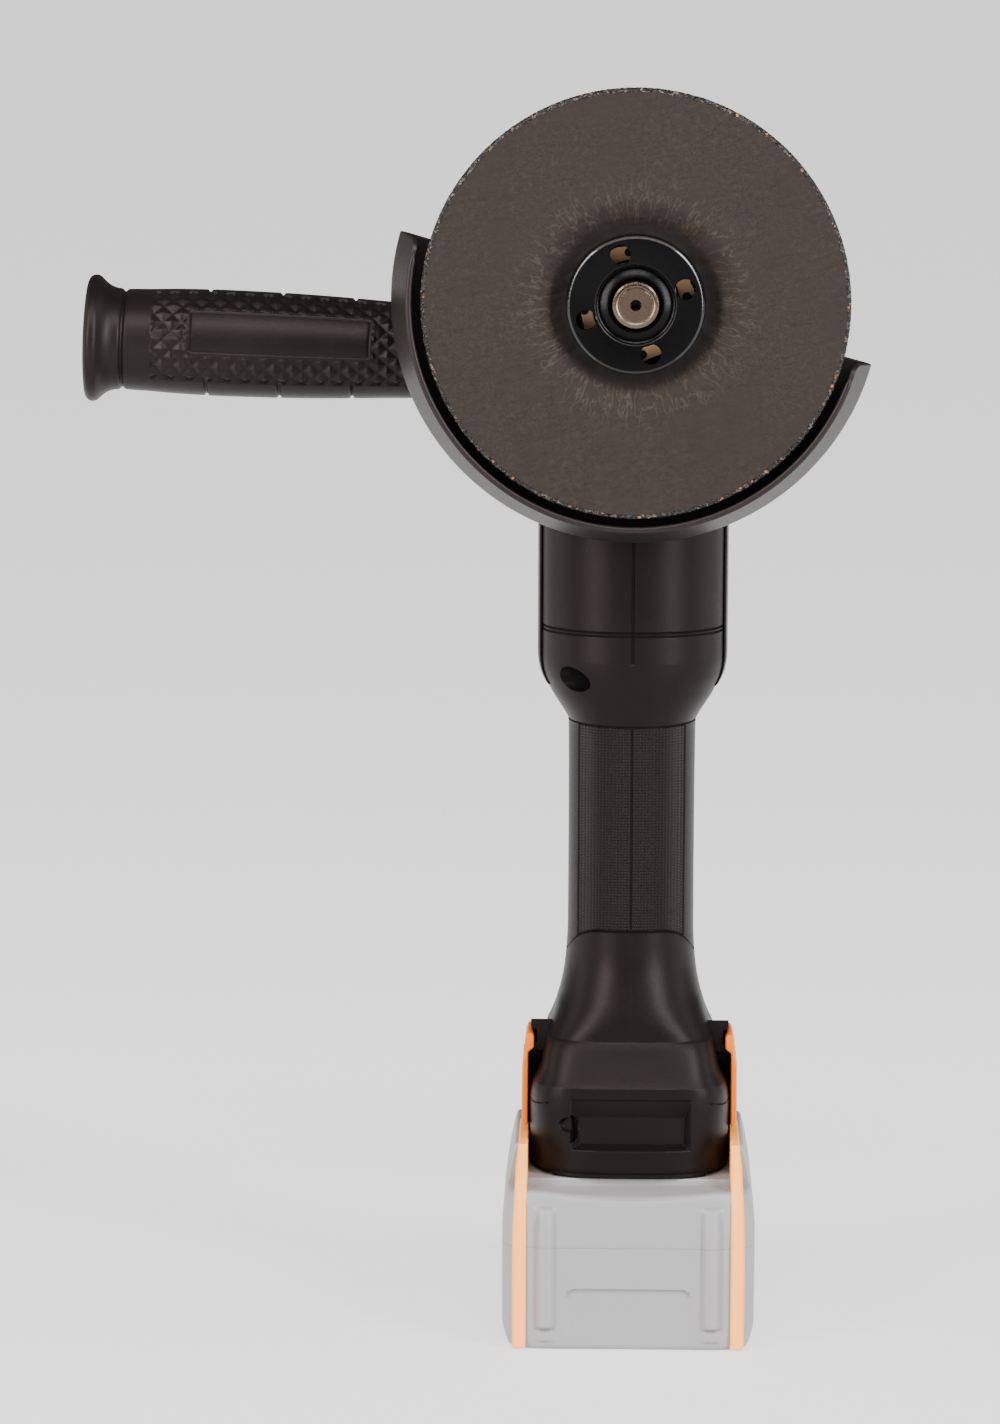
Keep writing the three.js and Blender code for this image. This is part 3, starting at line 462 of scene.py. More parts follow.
def disc():
    """Cloth front and back with a bare gritty rim between them, as one closed lathe."""
    angles = full_turn(DISC_SIDES)
    waves = sum(rng.normal() / k**0.5 * np.sin(k * angles + rng.uniform(0, 6.28)) for k in range(3, 60))
    edge_noise = waves * 0.05 + rng.normal(0, 0.07, DISC_SIDES)
    rows, kinds = [], []

    def add(radius, depth, kind=1):
        rows.append(spindle_ring(radius, DISC_FACE + depth, angles))
        kinds.append(kind)

    def rough(spread, low, high):
        return rng.normal(0, spread, DISC_SIDES).clip(low, high)

    def wrinkle(radius):
        strength = 0.16 * np.exp(-((radius - 27) / 11) ** 2) + 0.05
        counts = (5, 9, 13, 17, 23, 31)
        ripple = sum(math.sin(k) * np.sin(k * angles + k * k + radius * 0.05 * (k % 5)) for k in counts)
        return strength * ripple * 0.5

    for radius in np.concatenate([
        np.arange(DISC_BORE, 32, 0.6), np.arange(32, CLOTH_EDGE - 0.8, 1.4), [CLOTH_EDGE - 0.5, CLOTH_EDGE],
    ]):
        sink = HUB_SET_BACK * (1 - smoothstep(21.5, 31.5, radius))
        reach = radius + (edge_noise if radius > CLOTH_EDGE - 0.6 else 0)
        add(reach, 0.12 + sink + wrinkle(radius) * (radius > 20.5), 0)
    add(CLOTH_EDGE + edge_noise + 0.1, 0.5)
    for radius, depth in ((CLOTH_EDGE + 0.6, 0.55), (DISC_R - 0.5, 0.6), (DISC_R - 0.12, 1.1)):
        add(radius + rough(0.12, -0.3, 0.1), depth + rough(0.12, -np.inf, np.inf))
    for depth in np.arange(1.6, DISC_THICK - 0.6, 0.6):
        add(DISC_R - 0.14 + rough(0.1, -0.3, 0.12), depth)
    add(DISC_R - 0.4, DISC_THICK - 0.3)
    add(CLOTH_EDGE + 0.5, DISC_THICK - 0.2)
    add(CLOTH_EDGE, DISC_THICK, 0)
    for radius in (45, 33, 31.5, 29, 26, 24, 22, DISC_BORE):
        sink = HUB_SET_BACK * (1 - smoothstep(23.5, 31.5, radius))
        add(radius, DISC_THICK + sink - 0.05 + wrinkle(radius) * (radius > 24) * 0.5, 0)
    faces = grid_faces(len(rows), DISC_SIDES, True, True)
    slots = np.repeat(kinds, DISC_SIDES)
    piece = make("disc", rows, faces, [CLOTH, GRIT], "output", "grinding_disc", 60, slots)


def pin_places(turn=PIN_TURN):
    """Origins on the circle of the nut's four pin holes."""
    angles = [math.radians(turn + 90 * i) for i in range(4)]
    return [spindle_origin(PIN_CIRCLE * math.cos(a), PIN_CIRCLE * math.sin(a)) for a in angles]


def nut():
    """Lock nut: a rim with painted highlights at its left and right and painted shade at its top and
    bottom, four pin holes, and a raised cone in a groove round the thread.
    """
    face, back = NUT_FACE, HUB_FACE - 0.2
    rim = ((NUT_R - 0.3, face + 0.45), (NUT_R - 0.95, face + 0.1))
    lip = ((11.95, face + 0.02), (11.6, face + 0.3))
    cone = (
        (11.45, 0.9), (11.3, 1.9), (10.9, 2.1), (10.3, 1.9), (9.6, 1.6), (9.0, 1.33), (8.5, 1.12),
        (8.2, 1.03), (8.0, 1.1), (7.8, 1.4), (7.1, 2.3),
    )
    profile = [
        (7.1, back), (NUT_R - 0.4, back), (NUT_R, back - 0.5), (NUT_R, face + 1.2),
        (NUT_R - 0.06, face + 0.75),
        *rim, (NUT_R - 1.15, face), (12.1, face), *lip, *((radius, face + sink) for radius, sink in cone),
    ]
    sides = 160
    verts, faces = lathe_mesh(profile, sides)
    slots = np.zeros(len(faces), dtype=int)
    # Painted highlight and shade: rim faces towards the left and right lamps take the lighter steel, the
    # others the darker steel.
    toward_lamps = np.abs(np.cos(full_turn(sides) + math.pi / sides))
    for edge, kinds in ((rim, np.where(toward_lamps > 0.6, 1, 2)), (lip, 2)):
        first = profile.index(edge[0]) * sides
        slots[first:first + sides] = kinds
    piece = make("nut", verts, faces, [OXIDE, RIM_HIGHLIGHT, DULL_EDGE_AND_SHADE], "output", "lock_nut", 24, slots)
    carve(piece, [rod(3.0, face - 3, back + 3, origin=place) for place in pin_places()], sharp=24)


def hub_label():
    """The paper ring glued round the disc's bore, seen through the nut's holes."""
    sides = 180
    turn = full_turn(sides)
    ragged = 16.7 + 0.5 * np.sin(3 * turn + 0.8) + 0.25 * np.sin(11 * turn) + rng.normal(0, 0.08, sides)
    rows = [
        spindle_ring(radius, HUB_FACE + depth, turn)
        for radius, depth in ((12.9, 0.05), (ragged, 0.05), (ragged, -0.12), (12.9, -0.12))
    ]
    faces = grid_faces(len(rows), sides, True, True)
    piece = make("hub_label", rows, faces, PAPER, "output", None, 40)
    # Painted shade: four thin near-black discs on the label stand for the dark of small holes in it.
    rim = [(0, HUB_FACE + 0.03), (1.3, HUB_FACE + 0.03), (1.3, HUB_FACE - 0.15), (0, HUB_FACE - 0.15)]
    for i, place in enumerate(pin_places(PIN_TURN - 9.5)):
        make(f"label_hole_shade_{i + 1}", *lathe_mesh(rim, 24, origin=place), OXIDE, "output")


def spindle():
    """The whole shaft, with its thread, chamfered end and centre drilling."""
    radius, tip = 6.9, TIP_Y
    profile = [
        (0, 13.7), (3.7, 13.7), (4, 13.4), (4, 5.5), (6, 5.5), (6, -14.3), (9, -14.3), (9, -24.6),
        (7.5, -24.6), (7.5, -43.6),
    ]
    turn = -44.0
    while turn > tip + 2.4:
        profile += [(radius, turn), (radius - 0.85, turn - 1.0)]
        turn -= 2.0
    end = (
        (radius, 2.0), (radius, 1.2), (6.7, 0.8), (6.2, 0.45), (5.6, 0.35), (5.25, 0.5), (5.05, 0.45),
        (4.95, 0.15), (4.75, 0), (1.62, 0), (1.5, 0.15), (1.4, 3.0), (0, 3.6),
    )
    profile += [(r, tip + depth) for r, depth in end]
    sides = 96
    verts, faces = lathe_mesh(profile, sides)
    # Painted shade: the faces of the centre drilling take the black oxide so the hole reads dark.
    drilled = (len(profile) - 4) * sides
    slots = [1 if index >= drilled else 0 for index in range(len(faces))]
    piece = make("spindle_shaft", verts, faces, [PLATED, OXIDE], "output", "spindle", 20, slots)


# ---- guard ----

GUARD_BACK = -39.3  # middle of the sheet
GUARD_BACK_R = 71.0
GUARD_LIP_R = 66.0
GUARD_LIP = -59.4
GUARD_MIDDLE = math.radians(254.5)  # from +X towards +Z
GUARD_HALF = math.radians(90.5)
SHEET = 1.5


def guard():
    """The sheet: a flat back and a wall that narrows towards the lip, with rounded ends."""
    corner = arc(GUARD_BACK_R - 2.6, GUARD_BACK - 2.6, 2.6, 90, 14, 8)
    path = [(r, GUARD_BACK) for r in np.linspace(21.2, GUARD_BACK_R - 2.8, 26)] + corner
    last_r, last_y = corner[-1]
    for t in np.linspace(0, 1, 17)[1:]:
        path.append((last_r + (GUARD_LIP_R - last_r) * t, last_y + (GUARD_LIP + 0.4 - last_y) * t))
    sides = 220
    rounding = 4.5
    rows = []
    for radius, y in path:
        drop = max(0.0, rounding - (y - GUARD_LIP)) if radius > 60 else 0.0
        short = rounding - math.sqrt(max(rounding**2 - drop**2, 0))
        half = GUARD_HALF - short / radius
        rows.append(spindle_ring(radius, y, GUARD_MIDDLE + np.linspace(-half, half, sides)))
    faces = grid_faces(len(path), sides)
    piece = make("guard_sheet", rows, faces, GUARD, "guard", "guard_shell", 40)
    thicken(piece, SHEET, 0)
    apply_modifiers(piece)
    shade(piece.data, 40)
    bevel(piece, 0.3, 2, 50)
    guard_bead()
    neck = [
        (20.4, -40), (20.4, -33.4), (20.7, -33.2), (21.6, -33.2), (21.9, -33.4), (21.9, -38.4),
        (25, -38.6), (25, -40),
    ]
    make("guard_neck", *lathe_mesh(neck, 96), GUARD, "guard", None, 30)


def guard_bead():
    """The hem rolled along the lip, with round ends."""
    sides, ring = 200, 20
    half = GUARD_HALF - 4.2 / GUARD_LIP_R
    turn = full_turn(ring)
    rows = []
    for i, angle in enumerate(GUARD_MIDDLE + np.linspace(-half, half, sides)):
        from_end = min(i, sides - 1 - i)
        scale = math.sin(min(1.0, (from_end + 0.35) / 3) * math.pi / 2)
        radius = GUARD_LIP_R + 0.95 * scale * np.cos(turn)
        rows.append(spindle_ring(radius, GUARD_LIP + 0.8 * scale * np.sin(turn), angle))
    piece = make("guard_hem", rows, tube_faces(sides, ring), GUARD, "guard", None, 50)


# ---- side handle ----

HANDLE_TILT = math.radians(2.0)
HANDLE_AXIS = np.array([-math.cos(HANDLE_TILT), 0, math.sin(HANDLE_TILT)])
HANDLE_UP = np.array([math.sin(HANDLE_TILT), 0, math.cos(HANDLE_TILT)])
HANDLE_FRONT = np.array([0, -1.0, 0])
BOSS_Z = 293.7
HANDLE_ROOT = np.array([-31.8, 0, BOSS_Z])
HANDLE_TURN = math.radians(16)  # how far the two knurled faces are turned from level
KNURL_PITCH = 5.6
PANEL = (46.4, 102.0, 7.4)  # start and end along the handle, half height round it
NOTCHES = (30.6, 52.4, 74.2, 96.0)
HANDLE_STATIONS = [  # place along the axis, radius
    (3.8, 15.5), (4.6, 17.6), (5.6, 18.8), (7.2, 18.8), (8.6, 17.4), (11, 15), (15, 14), (22, 13.7),
    (32, 14.1), (42, 14.5), (52, 15.0), (64, 15.5), (76, 15.8), (92, 15.95), (104, 15.75), (114, 15.3),
    (120.4, 15.05), (121.4, 14.2), (122.4, 15.1), (124, 15.35), (125.6, 15.9), (127, 16.8), (128.2, 17.9),
    (129.2, 18.75), (130.2, 19.0), (131.2, 18.85), (132.0, 18.2), (132.5, 17.2), (132.9, 14), (133.3, 9),
    (133.6, 4), (133.7, 0.02),
]


def handle():
    """Rubber grip with a pyramid knurl on two faces, a plain panel and a flared end."""
    along = np.concatenate([
        np.arange(3.8, 120.6, 0.42), [120.7, 120.9, 121.3, 121.7, 121.9, 122.1],
        np.arange(122.5, 131.6, 0.4), np.linspace(131.8, 133.7, 16),
    ])
    sides = 300
    turn = full_turn(sides)
    folded = np.arcsin(np.sin(turn - HANDLE_TURN)) * np.where(np.cos(turn - HANDLE_TURN) >= 0, 1, -1)
    height = folded * 15.6  # mm round from the middle of a face
    radii = curve_values(HANDLE_STATIONS, along)[0]
    rows = [ring_at(s, radius + knurl(s, height), turn) for s, radius in zip(along, radii)]
    outer = len(rows)
    rows += [ring_at(s, 8.9, turn) for s in (4.2, 100.0)]
    # joins the grip's open end to the bore, whose far end is closed by a face
    faces = [f for f in grid_faces(len(rows), sides, True) if f[0] // sides != outer - 1]
    first = outer * sides
    faces += [(c, (c + 1) % sides, first + (c + 1) % sides, first + c) for c in range(sides)]
    faces += [tuple(range((row - 1) * sides, row * sides)) for row in (len(rows), outer)]
    piece = make("side_grip", rows, faces, RUBBER, "side_handle", "handle_grip", 28)


def ring_at(s, radius, turn):
    direction = np.cos(turn)[:, None] * HANDLE_FRONT + np.sin(turn)[:, None] * HANDLE_UP
    return HANDLE_ROOT + HANDLE_AXIS * s + direction * np.reshape(radius, (-1, 1))


def knurl(s, height):
    """Height of the grip's relief at s along the axis and a distance round it."""
    u = np.abs(np.mod((s + height) / KNURL_PITCH, 1) - 0.5) * 2
    v = np.abs(np.mod((s - height) / KNURL_PITCH, 1) - 0.5) * 2
    pyramid = 0.95 * np.minimum(1 - u, 1 - v)
    lengthwise = smoothstep(31, 32, s) * (1 - smoothstep(112.2, 112.8, s))
    in_zone = lengthwise * (1 - smoothstep(16.0, 16.5, np.abs(height)))
    start, end, half = PANEL
    from_edge = np.minimum(min(s - start, end - s), half - np.abs(height))
    in_panel = smoothstep(-0.2, 0.2, from_edge)
    frame_line = 0.35 * groove(from_edge + 0.35, 0.5) - 0.35 * groove(from_edge - 1.2, 0.4)
    relief = in_zone * (1 - in_panel) * (pyramid - 0.75) - 0.3 * in_panel + frame_line * in_zone
    for notch in NOTCHES:
        relief = relief - 1.0 * groove(s - notch, 0.75) * smoothstep(16.0, 16.6, np.abs(height))
    return relief


# ---- housing shells ----

# Height, half width, reach to the front and the back, squareness of the front and of the back.
STATIONS = [
    (FOOT_Z, 29.8, 35.5, 39.6, 3.2, 7), (FOOT_Z + 0.6, 30.1, 35.9, 39.9, 3.2, 7),
    (52.5, 30.2, 36, 40, 3.2, 7), (60, 30.2, 35.9, 39.9, 3.6, 7), (70, 30.2, 35.7, 39.7, 4.4, 7),
    (74, 29.8, 35.5, 39.5, 4.8, 6.8), (76.9, 28.9, 35.3, 39.2, 5, 6.6), (77.2, 28.7, 35.1, 39.1, 5.1, 6.5),
    (81, 26.9, 33.2, 38.4, 5.2, 6), (85.3, 26.1, 31.2, 37.5, 5.0, 5.4), (89.8, 25.1, 29.1, 36.5, 4.4, 4.8),
    (90.1, 24.9, 28.9, 36.3, 4.3, 4.6), (92.5, 24.0, 28.6, 35, 3.6, 4.2), (95, 23.1, 28.2, 33, 3.1, 3.8),
    (97.5, 22.4, 27.6, 31, 2.75, 3.4), (102, 21.2, 26.3, 27.5, 2.35, 3.1), (107, 20.2, 24.8, 24.8, 2.2, 3),
    (111, 19.7, 23.9, 23.5, 2.1, 3), (115, 19.35, 23.5, 22.8, 2.1, 3), (122, 19.05, 23.4, 22.2, 2.1, 3),
    (150, 19.0, 24.2, 22.4, 2.1, 3), (183, 19.15, 25.3, 22.8, 2.1, 3), (184.8, 19.35, 25.5, 23.1, 2.1, 3),
    (186.5, 20.2, 25.8, 23.7, 2.1, 3.1), (189.6, 22.2, 26.5, 24.7, 2.1, 3.2),
    (192.6, 24.1, 27.3, 25.8, 2.1, 3.4), (195.6, 25.6, 28.1, 26.9, 2.1, 3.8),
    (198.7, 27.0, 28.8, 27.8, 2.1, 4), (201.7, 27.65, 29.3, 28.5, 2.1, 4.4),
    (203.7, 27.8, 29.55, 28.8, 2.1, 4.6), (204.2, 27.8, 29.6, 28.8, 2.1, 4.6),
    (SHELL_TOP, 27.9, 29.6, 29, 2.1, 5),
]
GRIP_TOP = 184.8
GRIP_END = 114.7  # at the sides; it rises towards the middle of the front
PAD_HALF = 16.0
GROOVES = (213.5, 212.4)
SWITCH_SLOT = (-4.2, 4.2, 20, 60, 216, 246)
RAIL_OPENING = (-25.6, 25.6, 30, 60, 40, 60.8)
VENTS = (216, 224, 232, 240)  # lower edges
SCREWS = ((-22, 198.8, -9.5), (10, 128, -13), (26, 84, -22), (-14, 68.5, -24))  # Y, Z and how deep in X
TABLE_STEP = 0.25
BAR_INNER = 30.35  # inner edge of the battery's pale bars, beside the foot


def section_at(z):
    return [value[0] for value in curve_values(STATIONS, [z])]


def curve_reach(at, half, reach, power):
    """How far a rounded outline reaches one way, at a distance the other way."""
    return reach * np.clip(1 - np.abs(at / half) ** power, 0, 1) ** (1 / power)


def edges_at(x, section):
    """Y of an outline's front and back, at a distance from the middle."""
    half, front, back, front_power, back_power = section
    return -curve_reach(x, half, front, front_power), curve_reach(x, half, back, back_power)


def outline_points(z):
    """Right half of the outline from the front seam to the back seam, always in the same columns."""
    section = section_at(z)
    near = np.concatenate([[0, 0.14, 0.3, 0.5], np.linspace(0.9, PAD_HALF - 0.15, 44), [PAD_HALF + 0.1]])
    side_x, side_y = round_side(PAD_HALF + 0.5, section, 150)
    front_y, back_y = edges_at(near, section)
    return np.concatenate([near, side_x, near[::-1]]), np.concatenate([front_y, side_y, back_y[::-1]])


def rounded_outline(theta, half, front, back, front_power, back_power):
    """Points of a superellipse, with one squareness towards the front and one towards the back."""
    forward = np.sin(theta) < 0
    reach, power = np.where(forward, front, back), np.where(forward, front_power, back_power)
    rho = (np.abs(np.cos(theta) / half) ** power + np.abs(np.sin(theta) / reach) ** power) ** (-1 / power)
    return rho * np.cos(theta), rho * np.sin(theta)


def run_along(x, y):
    """Distance along a line of points, from its start."""
    return np.concatenate([[0], np.cumsum(np.hypot(np.diff(x), np.diff(y)))])


def round_side(start, section, count):
    """Evenly spaced points from the front round the side to the back, starting and ending at one x."""
    theta = np.linspace(-math.pi / 2, math.pi / 2, 900)
    x, y = rounded_outline(theta, *section)
    keep = x >= start
    first_y, last_y = edges_at(start, section)
    x = np.concatenate([[start], x[keep], [start]])
    y = np.concatenate([[first_y], y[keep], [last_y]])
    run = run_along(x, y)
    want = np.concatenate([np.arange(0, 6, 0.25), np.linspace(6, run[-1], count - 24)])
    return np.interp(want, run, x), np.interp(want, run, y)


def grip_rise(x, y):
    """How much higher than at the sides the grip's lower edge is."""
    return np.where(y < 0, 7.8 * np.clip(1 - (np.abs(x) / 19.1) ** 5.8, 0, 1), 0)


def body_relief(x, y, z, level, sign):
    """How far the skin sinks at each point of a row, in mm."""
    front = (y < 0).astype(float)
    seam_levels = [77, 100, 114, 116, 184, 185.5, 203.6, 204.4]
    seam = np.interp(level, seam_levels, [0.05, 0.05, 0.07, 0.3, 0.3, 0.0, 0.0, 0.4])
    sink = seam * (1 - smoothstep(0.12, 0.5, x))
    for height in GROOVES:
        sink = sink + 0.4 * groove(z - height, 0.4)
    sink = sink + 0.4 * groove(level - GRIP_END, 0.35) + 0.35 * groove(level - GRIP_TOP, 0.35)
    inside = (level > GRIP_END + 0.2) * (level < GRIP_TOP - 0.2)
    sink = sink + 0.7 * inside * (x < PAD_HALF)
    line = 71.0 + 1.1 * smoothstep(30.2, 24.5, x) - z
    sink = sink + 0.45 * groove(line, 0.3) * smoothstep(23.0, 25.0, x) * front
    return sink + key_pocket(sign * x, z) * front


def key_pocket(x, z):
    """The recess in the front of the foot that holds the pin spanner."""
    left, right, low, high = -17.6, 18.6, 58.2, 73.9
    sides = np.minimum((x - left) / 2.2, (right - x) / 1.7)
    from_top = np.interp(high - z, [0, 0.4, 6.1], [0, 0.12, 1])
    from_low = np.interp(z - low, [0, 1.6], [0, 1])
    depth = 3.2 * np.clip(np.minimum(sides, np.minimum(from_top, from_low)), 0, 1)
    crescent = 1 - ((x + 18.2) / 2.9) ** 2 - ((z - 65.9) / 2.2) ** 2
    depth = np.maximum(depth, 1.6 * np.clip(crescent * 3, 0, 1))
    notch = 1 - ((x + 17.4) / 1.7) ** 2 - ((z - 64.6) / 4.3) ** 2
    return np.maximum(depth, 4.2 * np.clip(notch * 4, 0, 1) * (x > -17.7))


def skin_levels():
    """Heights of the skin's rows, close together where there is something to show."""
    spans = [
        (FOOT_Z, 51.8, 0.2), (52, 57.4, 0.9), (57.4, 74.6, 0.3), (75, 76.5, 0.5), (76.65, 77.5, 0.15),
        (78, 89.2, 0.8), (89.5, 90.6, 0.15), (91, 112, 0.9), (112, GRIP_END - 0.5, 0.8),
        (GRIP_END - 0.35, GRIP_END + 0.5, 0.175), (GRIP_END + 0.8, GRIP_TOP - 0.8, 1.3),
        (GRIP_TOP - 0.525, GRIP_TOP + 0.5, 0.175), (GRIP_TOP + 0.8, 203.3, 0.8), (203.6, 204.5, 0.2),
        (205, 211.6, 0.8), (211.8, 214.3, 0.14), (214.6, SHELL_TOP, 2.2),
    ]
    levels = np.concatenate([np.arange(a, b, step) for a, b, step in spans] + [[SHELL_TOP]])
    return levels[np.append(np.diff(levels) > 0.01, True)]


def skin_rows(levels, shrink=0.0, relief=True, sign=1):
    """Rows of the skin's right half, warped so that one row follows the grip's lower edge."""
    table_z = np.arange(FOOT_Z, SHELL_TOP + TABLE_STEP, TABLE_STEP)
    table = np.array([outline_points(min(z, SHELL_TOP)) for z in table_z])
    rows = []
    for level in levels:
        weight = float(smoothstep(94, GRIP_END, level) * (1 - smoothstep(GRIP_END, 150, level)))
        nearest = min(int((level - FOOT_Z) / TABLE_STEP), len(table) - 1)
        z = level + weight * grip_rise(*table[nearest])
        at = np.clip((z - FOOT_Z) / TABLE_STEP, 0, len(table) - 1.001)
        low = at.astype(int)
        part = at - low
        columns = np.arange(len(z))
        x, y = (table[low, k, columns] * (1 - part) + table[low + 1, k, columns] * part for k in (0, 1))
        tx, ty = np.gradient(x), np.gradient(y)
        size = np.hypot(tx, ty)
        sink = shrink + (body_relief(x, y, z, level, sign) if relief else 0)
        px = np.maximum(x - ty / size * sink, 0.0)
        rows.append(np.stack([sign * px, y + tx / size * sink, z], axis=1))
    return rows


def shell(side, sign):
    """One half shell: its skin with a wall, then the switch slot, rail opening, vents and screw wells."""
    rows = skin_rows(skin_levels(), sign=sign)
    faces = grid_faces(len(rows), len(rows[0]))
    piece = make(f"shell_{side}_skin", rows, faces, SHELL, "tool", f"shell_{side}", 30)
    thicken(piece, 2.2, -1)
    apply_modifiers(piece)
    cuts = [cutter(box_mesh(*box)) for box in (SWITCH_SLOT, RAIL_OPENING)]
    for z in VENTS:
        cuts.append(cutter(box_mesh(*sorted((sign * 15, sign * 40)), 18.5, 23, z, z + 3)))
    if side == "left":
        cuts += [rod(3.8, -60, depth, (1, 0, 0), (0, y, z)) for y, z, depth in SCREWS]
    carve(piece, cuts, sharp=30)


def body_volume():
    """A coarse closed copy of the housing, just inside its skin, for trimming other pieces."""
    spans = ((FOOT_Z + 0.3, 108, 24), (112, 182, 12), (185, SHELL_TOP - 1, 20))
    rows = skin_rows(np.concatenate([np.linspace(*levels) for levels in spans]), 0.12, False)
    last = len(rows[0]) - 1
    keep = np.unique(np.concatenate([[0, 1, 3], np.arange(8, last - 3, 6), [last - 1, last]]))
    rings = [np.concatenate([row[keep], row[keep][::-1] * np.array([-1, 1, 1])]) for row in rows]
    return cutter((rings, tube_faces(len(rings), len(rings[0]))))


def screw_wells():
    """Round wells that lead from the skin to the heads of the shell screws."""
    for i, (y, z, depth) in enumerate(SCREWS):
        profile = [(0, -34), (4.9, -34), (4.9, depth + 1.6), (0, depth + 1.6)]
        well = make(f"screw_well_{i + 1}", *lathe_mesh(profile, 40, (1, 0, 0), (0, y, z)), DARK, "tool")
        carve(well, [body_volume()], "INTERSECT")
        carve(well, [rod(3.8, -60, depth, (1, 0, 0), (0, y, z), 40)])


def side_strip(side, sign):
    """A thin panel wrapped round the side of the housing and down its taper."""
    low, high, near, far = 195.2, 266.0, -7.3, 14.0
    heights = np.concatenate([
        np.linspace(low, low + 0.8, 5), np.linspace(196.5, 265, 60), np.linspace(high - 0.8, high, 5),
    ])
    depths = np.concatenate([
        np.linspace(near, near + 0.8, 5), np.linspace(-6, 13, 26), np.linspace(far - 0.7, far, 5),
    ])
    rows = []
    for z in heights:
        half, front, back, front_power, back_power = section_at(z)
        ahead = curve_reach(depths, front, half, front_power)
        behind = curve_reach(depths, back, half, back_power)
        to_edge = np.minimum(np.minimum(depths - near, far - depths), min(z - low, high - z))
        proud = np.interp(z, [low, 202, 205], [0.2, 0.35, 0.5])
        lift = 0.32 + proud * np.sqrt(np.clip(to_edge / 0.4, 0, 1))
        x = sign * (np.where(depths < 0, ahead, behind) + lift)
        rows.append(np.stack([x, depths, np.full_like(depths, z)], axis=1))
    faces = grid_faces(len(heights), len(depths))
    piece = make(f"side_panel_{side}", rows, faces, SHELL_SMOOTH, "tool", f"side_strip_{side}", 40)
    thicken(piece, 0.3, -1)


def grip_pad(name, sign, front):
    """Half of the textured pad: rows of small square pyramids on the grip's own curve."""
    columns, rows = 16, 72
    xs = np.linspace(0.45, PAD_HALF - 0.45, columns + 1)
    low_edge = GRIP_END + 0.55 + (grip_rise(xs, -1) if front else 0)
    heights = [low_edge + (GRIP_TOP - 0.55 - low_edge) * r / rows for r in range(rows + 1)]
    corners = np.array([pad_point(xs, z, 0.62, front) for z in heights])
    middle = (corners[:-1, :-1] + corners[1:, :-1] + corners[:-1, 1:] + corners[1:, 1:]) / 4
    peaks = np.array([pad_point(row[:, 0], row[:, 2], 0.3, front) for row in middle])
    verts = np.concatenate([corners.reshape(-1, 3), peaks.reshape(-1, 3)]) * np.array([sign, 1, 1])
    first_peak = (rows + 1) * (columns + 1)
    faces = []
    for peak, ring in enumerate(grid_faces(rows + 1, columns + 1)):
        faces += [(ring[k], ring[(k + 1) % 4], first_peak + peak) for k in range(4)]
    make(name, verts, faces, GRIP, "tool", None, 8)


def pad_point(x, z, sink, front):
    points = []
    for px, pz in zip(x, z * np.ones_like(x)):
        front_y, back_y = edges_at(px, section_at(pz))
        points.append((px, front_y + sink if front else back_y - sink, pz))
    return np.array(points)


def moulded(name, mesh, mat, body, rounding, steps=2):
    """A small piece with rounded edges that stands for no CAD node."""
    return bevel(make(name, *mesh, mat, body), rounding, steps)


def tab_and_ear(side, sign):
    """Orange tab on the side of the foot, the seats behind it and the notched ear above it."""
    place = sideways(sign)
    hook = [
        (30.6, 84.4), (28.9, 85.8), (28.9, 89.2), (29.6, 90.2), (30.9, 90.2), (31.6, 88.6), (31.7, 83.4),
        (32.4, 81), (32.5, 63.2), (31.6, 61.9), (30.6, 62.3),
    ]
    verts, faces = prism_mesh(hook, -16, 16, place)
    verts = [(x, y, z - (0.137 * y if y > 0 and z > 82 else 0)) for x, y, z in verts]
    tab = make(f"tab_{side}", verts, faces, ORANGE, "tool", f"trim_tab_{side}", 30)
    bevel(tab, 0.45, 4)
    for name, top, near, far in (("seat", 85.0, -4.5, 17.5), ("seat_front", 72.0, -14.0, -4.0)):
        seat = [(26, 60.1), (30.58, 60.1), (30.58, top), (26, top)]
        piece = moulded(f"tab_{name}_{side}", prism_mesh(seat, near, far, place), SHELL, "tool", 0.3)
    root = 84.4
    ear = [
        (21, root), (29.9, root), (29.9, 86), (28.1, 86.6), (28.1, 90.4), (29.9, 91), (29.9, 93.4),
        (21, 93.4),
    ]
    verts, faces = prism_mesh(ear, -12, 24, place)
    leaning = []
    for x, y, z in verts:
        rise = z - root
        leaning.append((x, y, root + 0.1 * rise) if y > 0 else (x, y + 0.35 * rise, z))
    moulded(f"foot_ear_{side}", (leaning, faces), SHELL, "tool", 0.4, 3)
    rear = [(20, 60.1), (29.9, 60.1), (29.9, 85), (20, 85)]
    wall = moulded(f"foot_wall_{side}", prism_mesh(rear, 17.0, 34, place), SHELL, "tool", 0.5, 3)


def foot_lip():
    """The step under the front of the foot."""
    front = [(x, 0.6 - curve_reach(x, 30.2, 36, 3.2)) for x in np.linspace(-23.2, 23.2, 60)]
    mesh = prism_mesh(front + [(23.2, -14), (-23.2, -14)], FOOT_Z - 1.25, FOOT_Z + 1.0, upright)
    moulded("foot_lip", mesh, SHELL, "tool", 0.3)


# ---- battery ----

CASE_POWER = 10  # squareness of the case's corners
RIB_X, RIB_HALF = 24.8, 2.65  # middle of a front rib, and half its width
RIB_LOW, RIB_TOP = 6.4, 43.4
RECESS_HALF, RECESS_TOP, RECESS_R = 18.7, 18.6, 3.0


def case_ring(half, front, back, power, z, count=420):
    """One level outline of the case, evenly spaced, starting at the middle of the front."""
    theta = np.linspace(-math.pi / 2, 3 * math.pi / 2, 3000)
    x, y = rounded_outline(theta, half, front, back, power, power)
    run = run_along(x, y)
    want = np.linspace(0, run[-1], count, endpoint=False)
    return np.stack([np.interp(want, run, x), np.interp(want, run, y), np.full(count, float(z))], axis=1)


def ramp(value):
    return min(1.0, max(0.0, value))


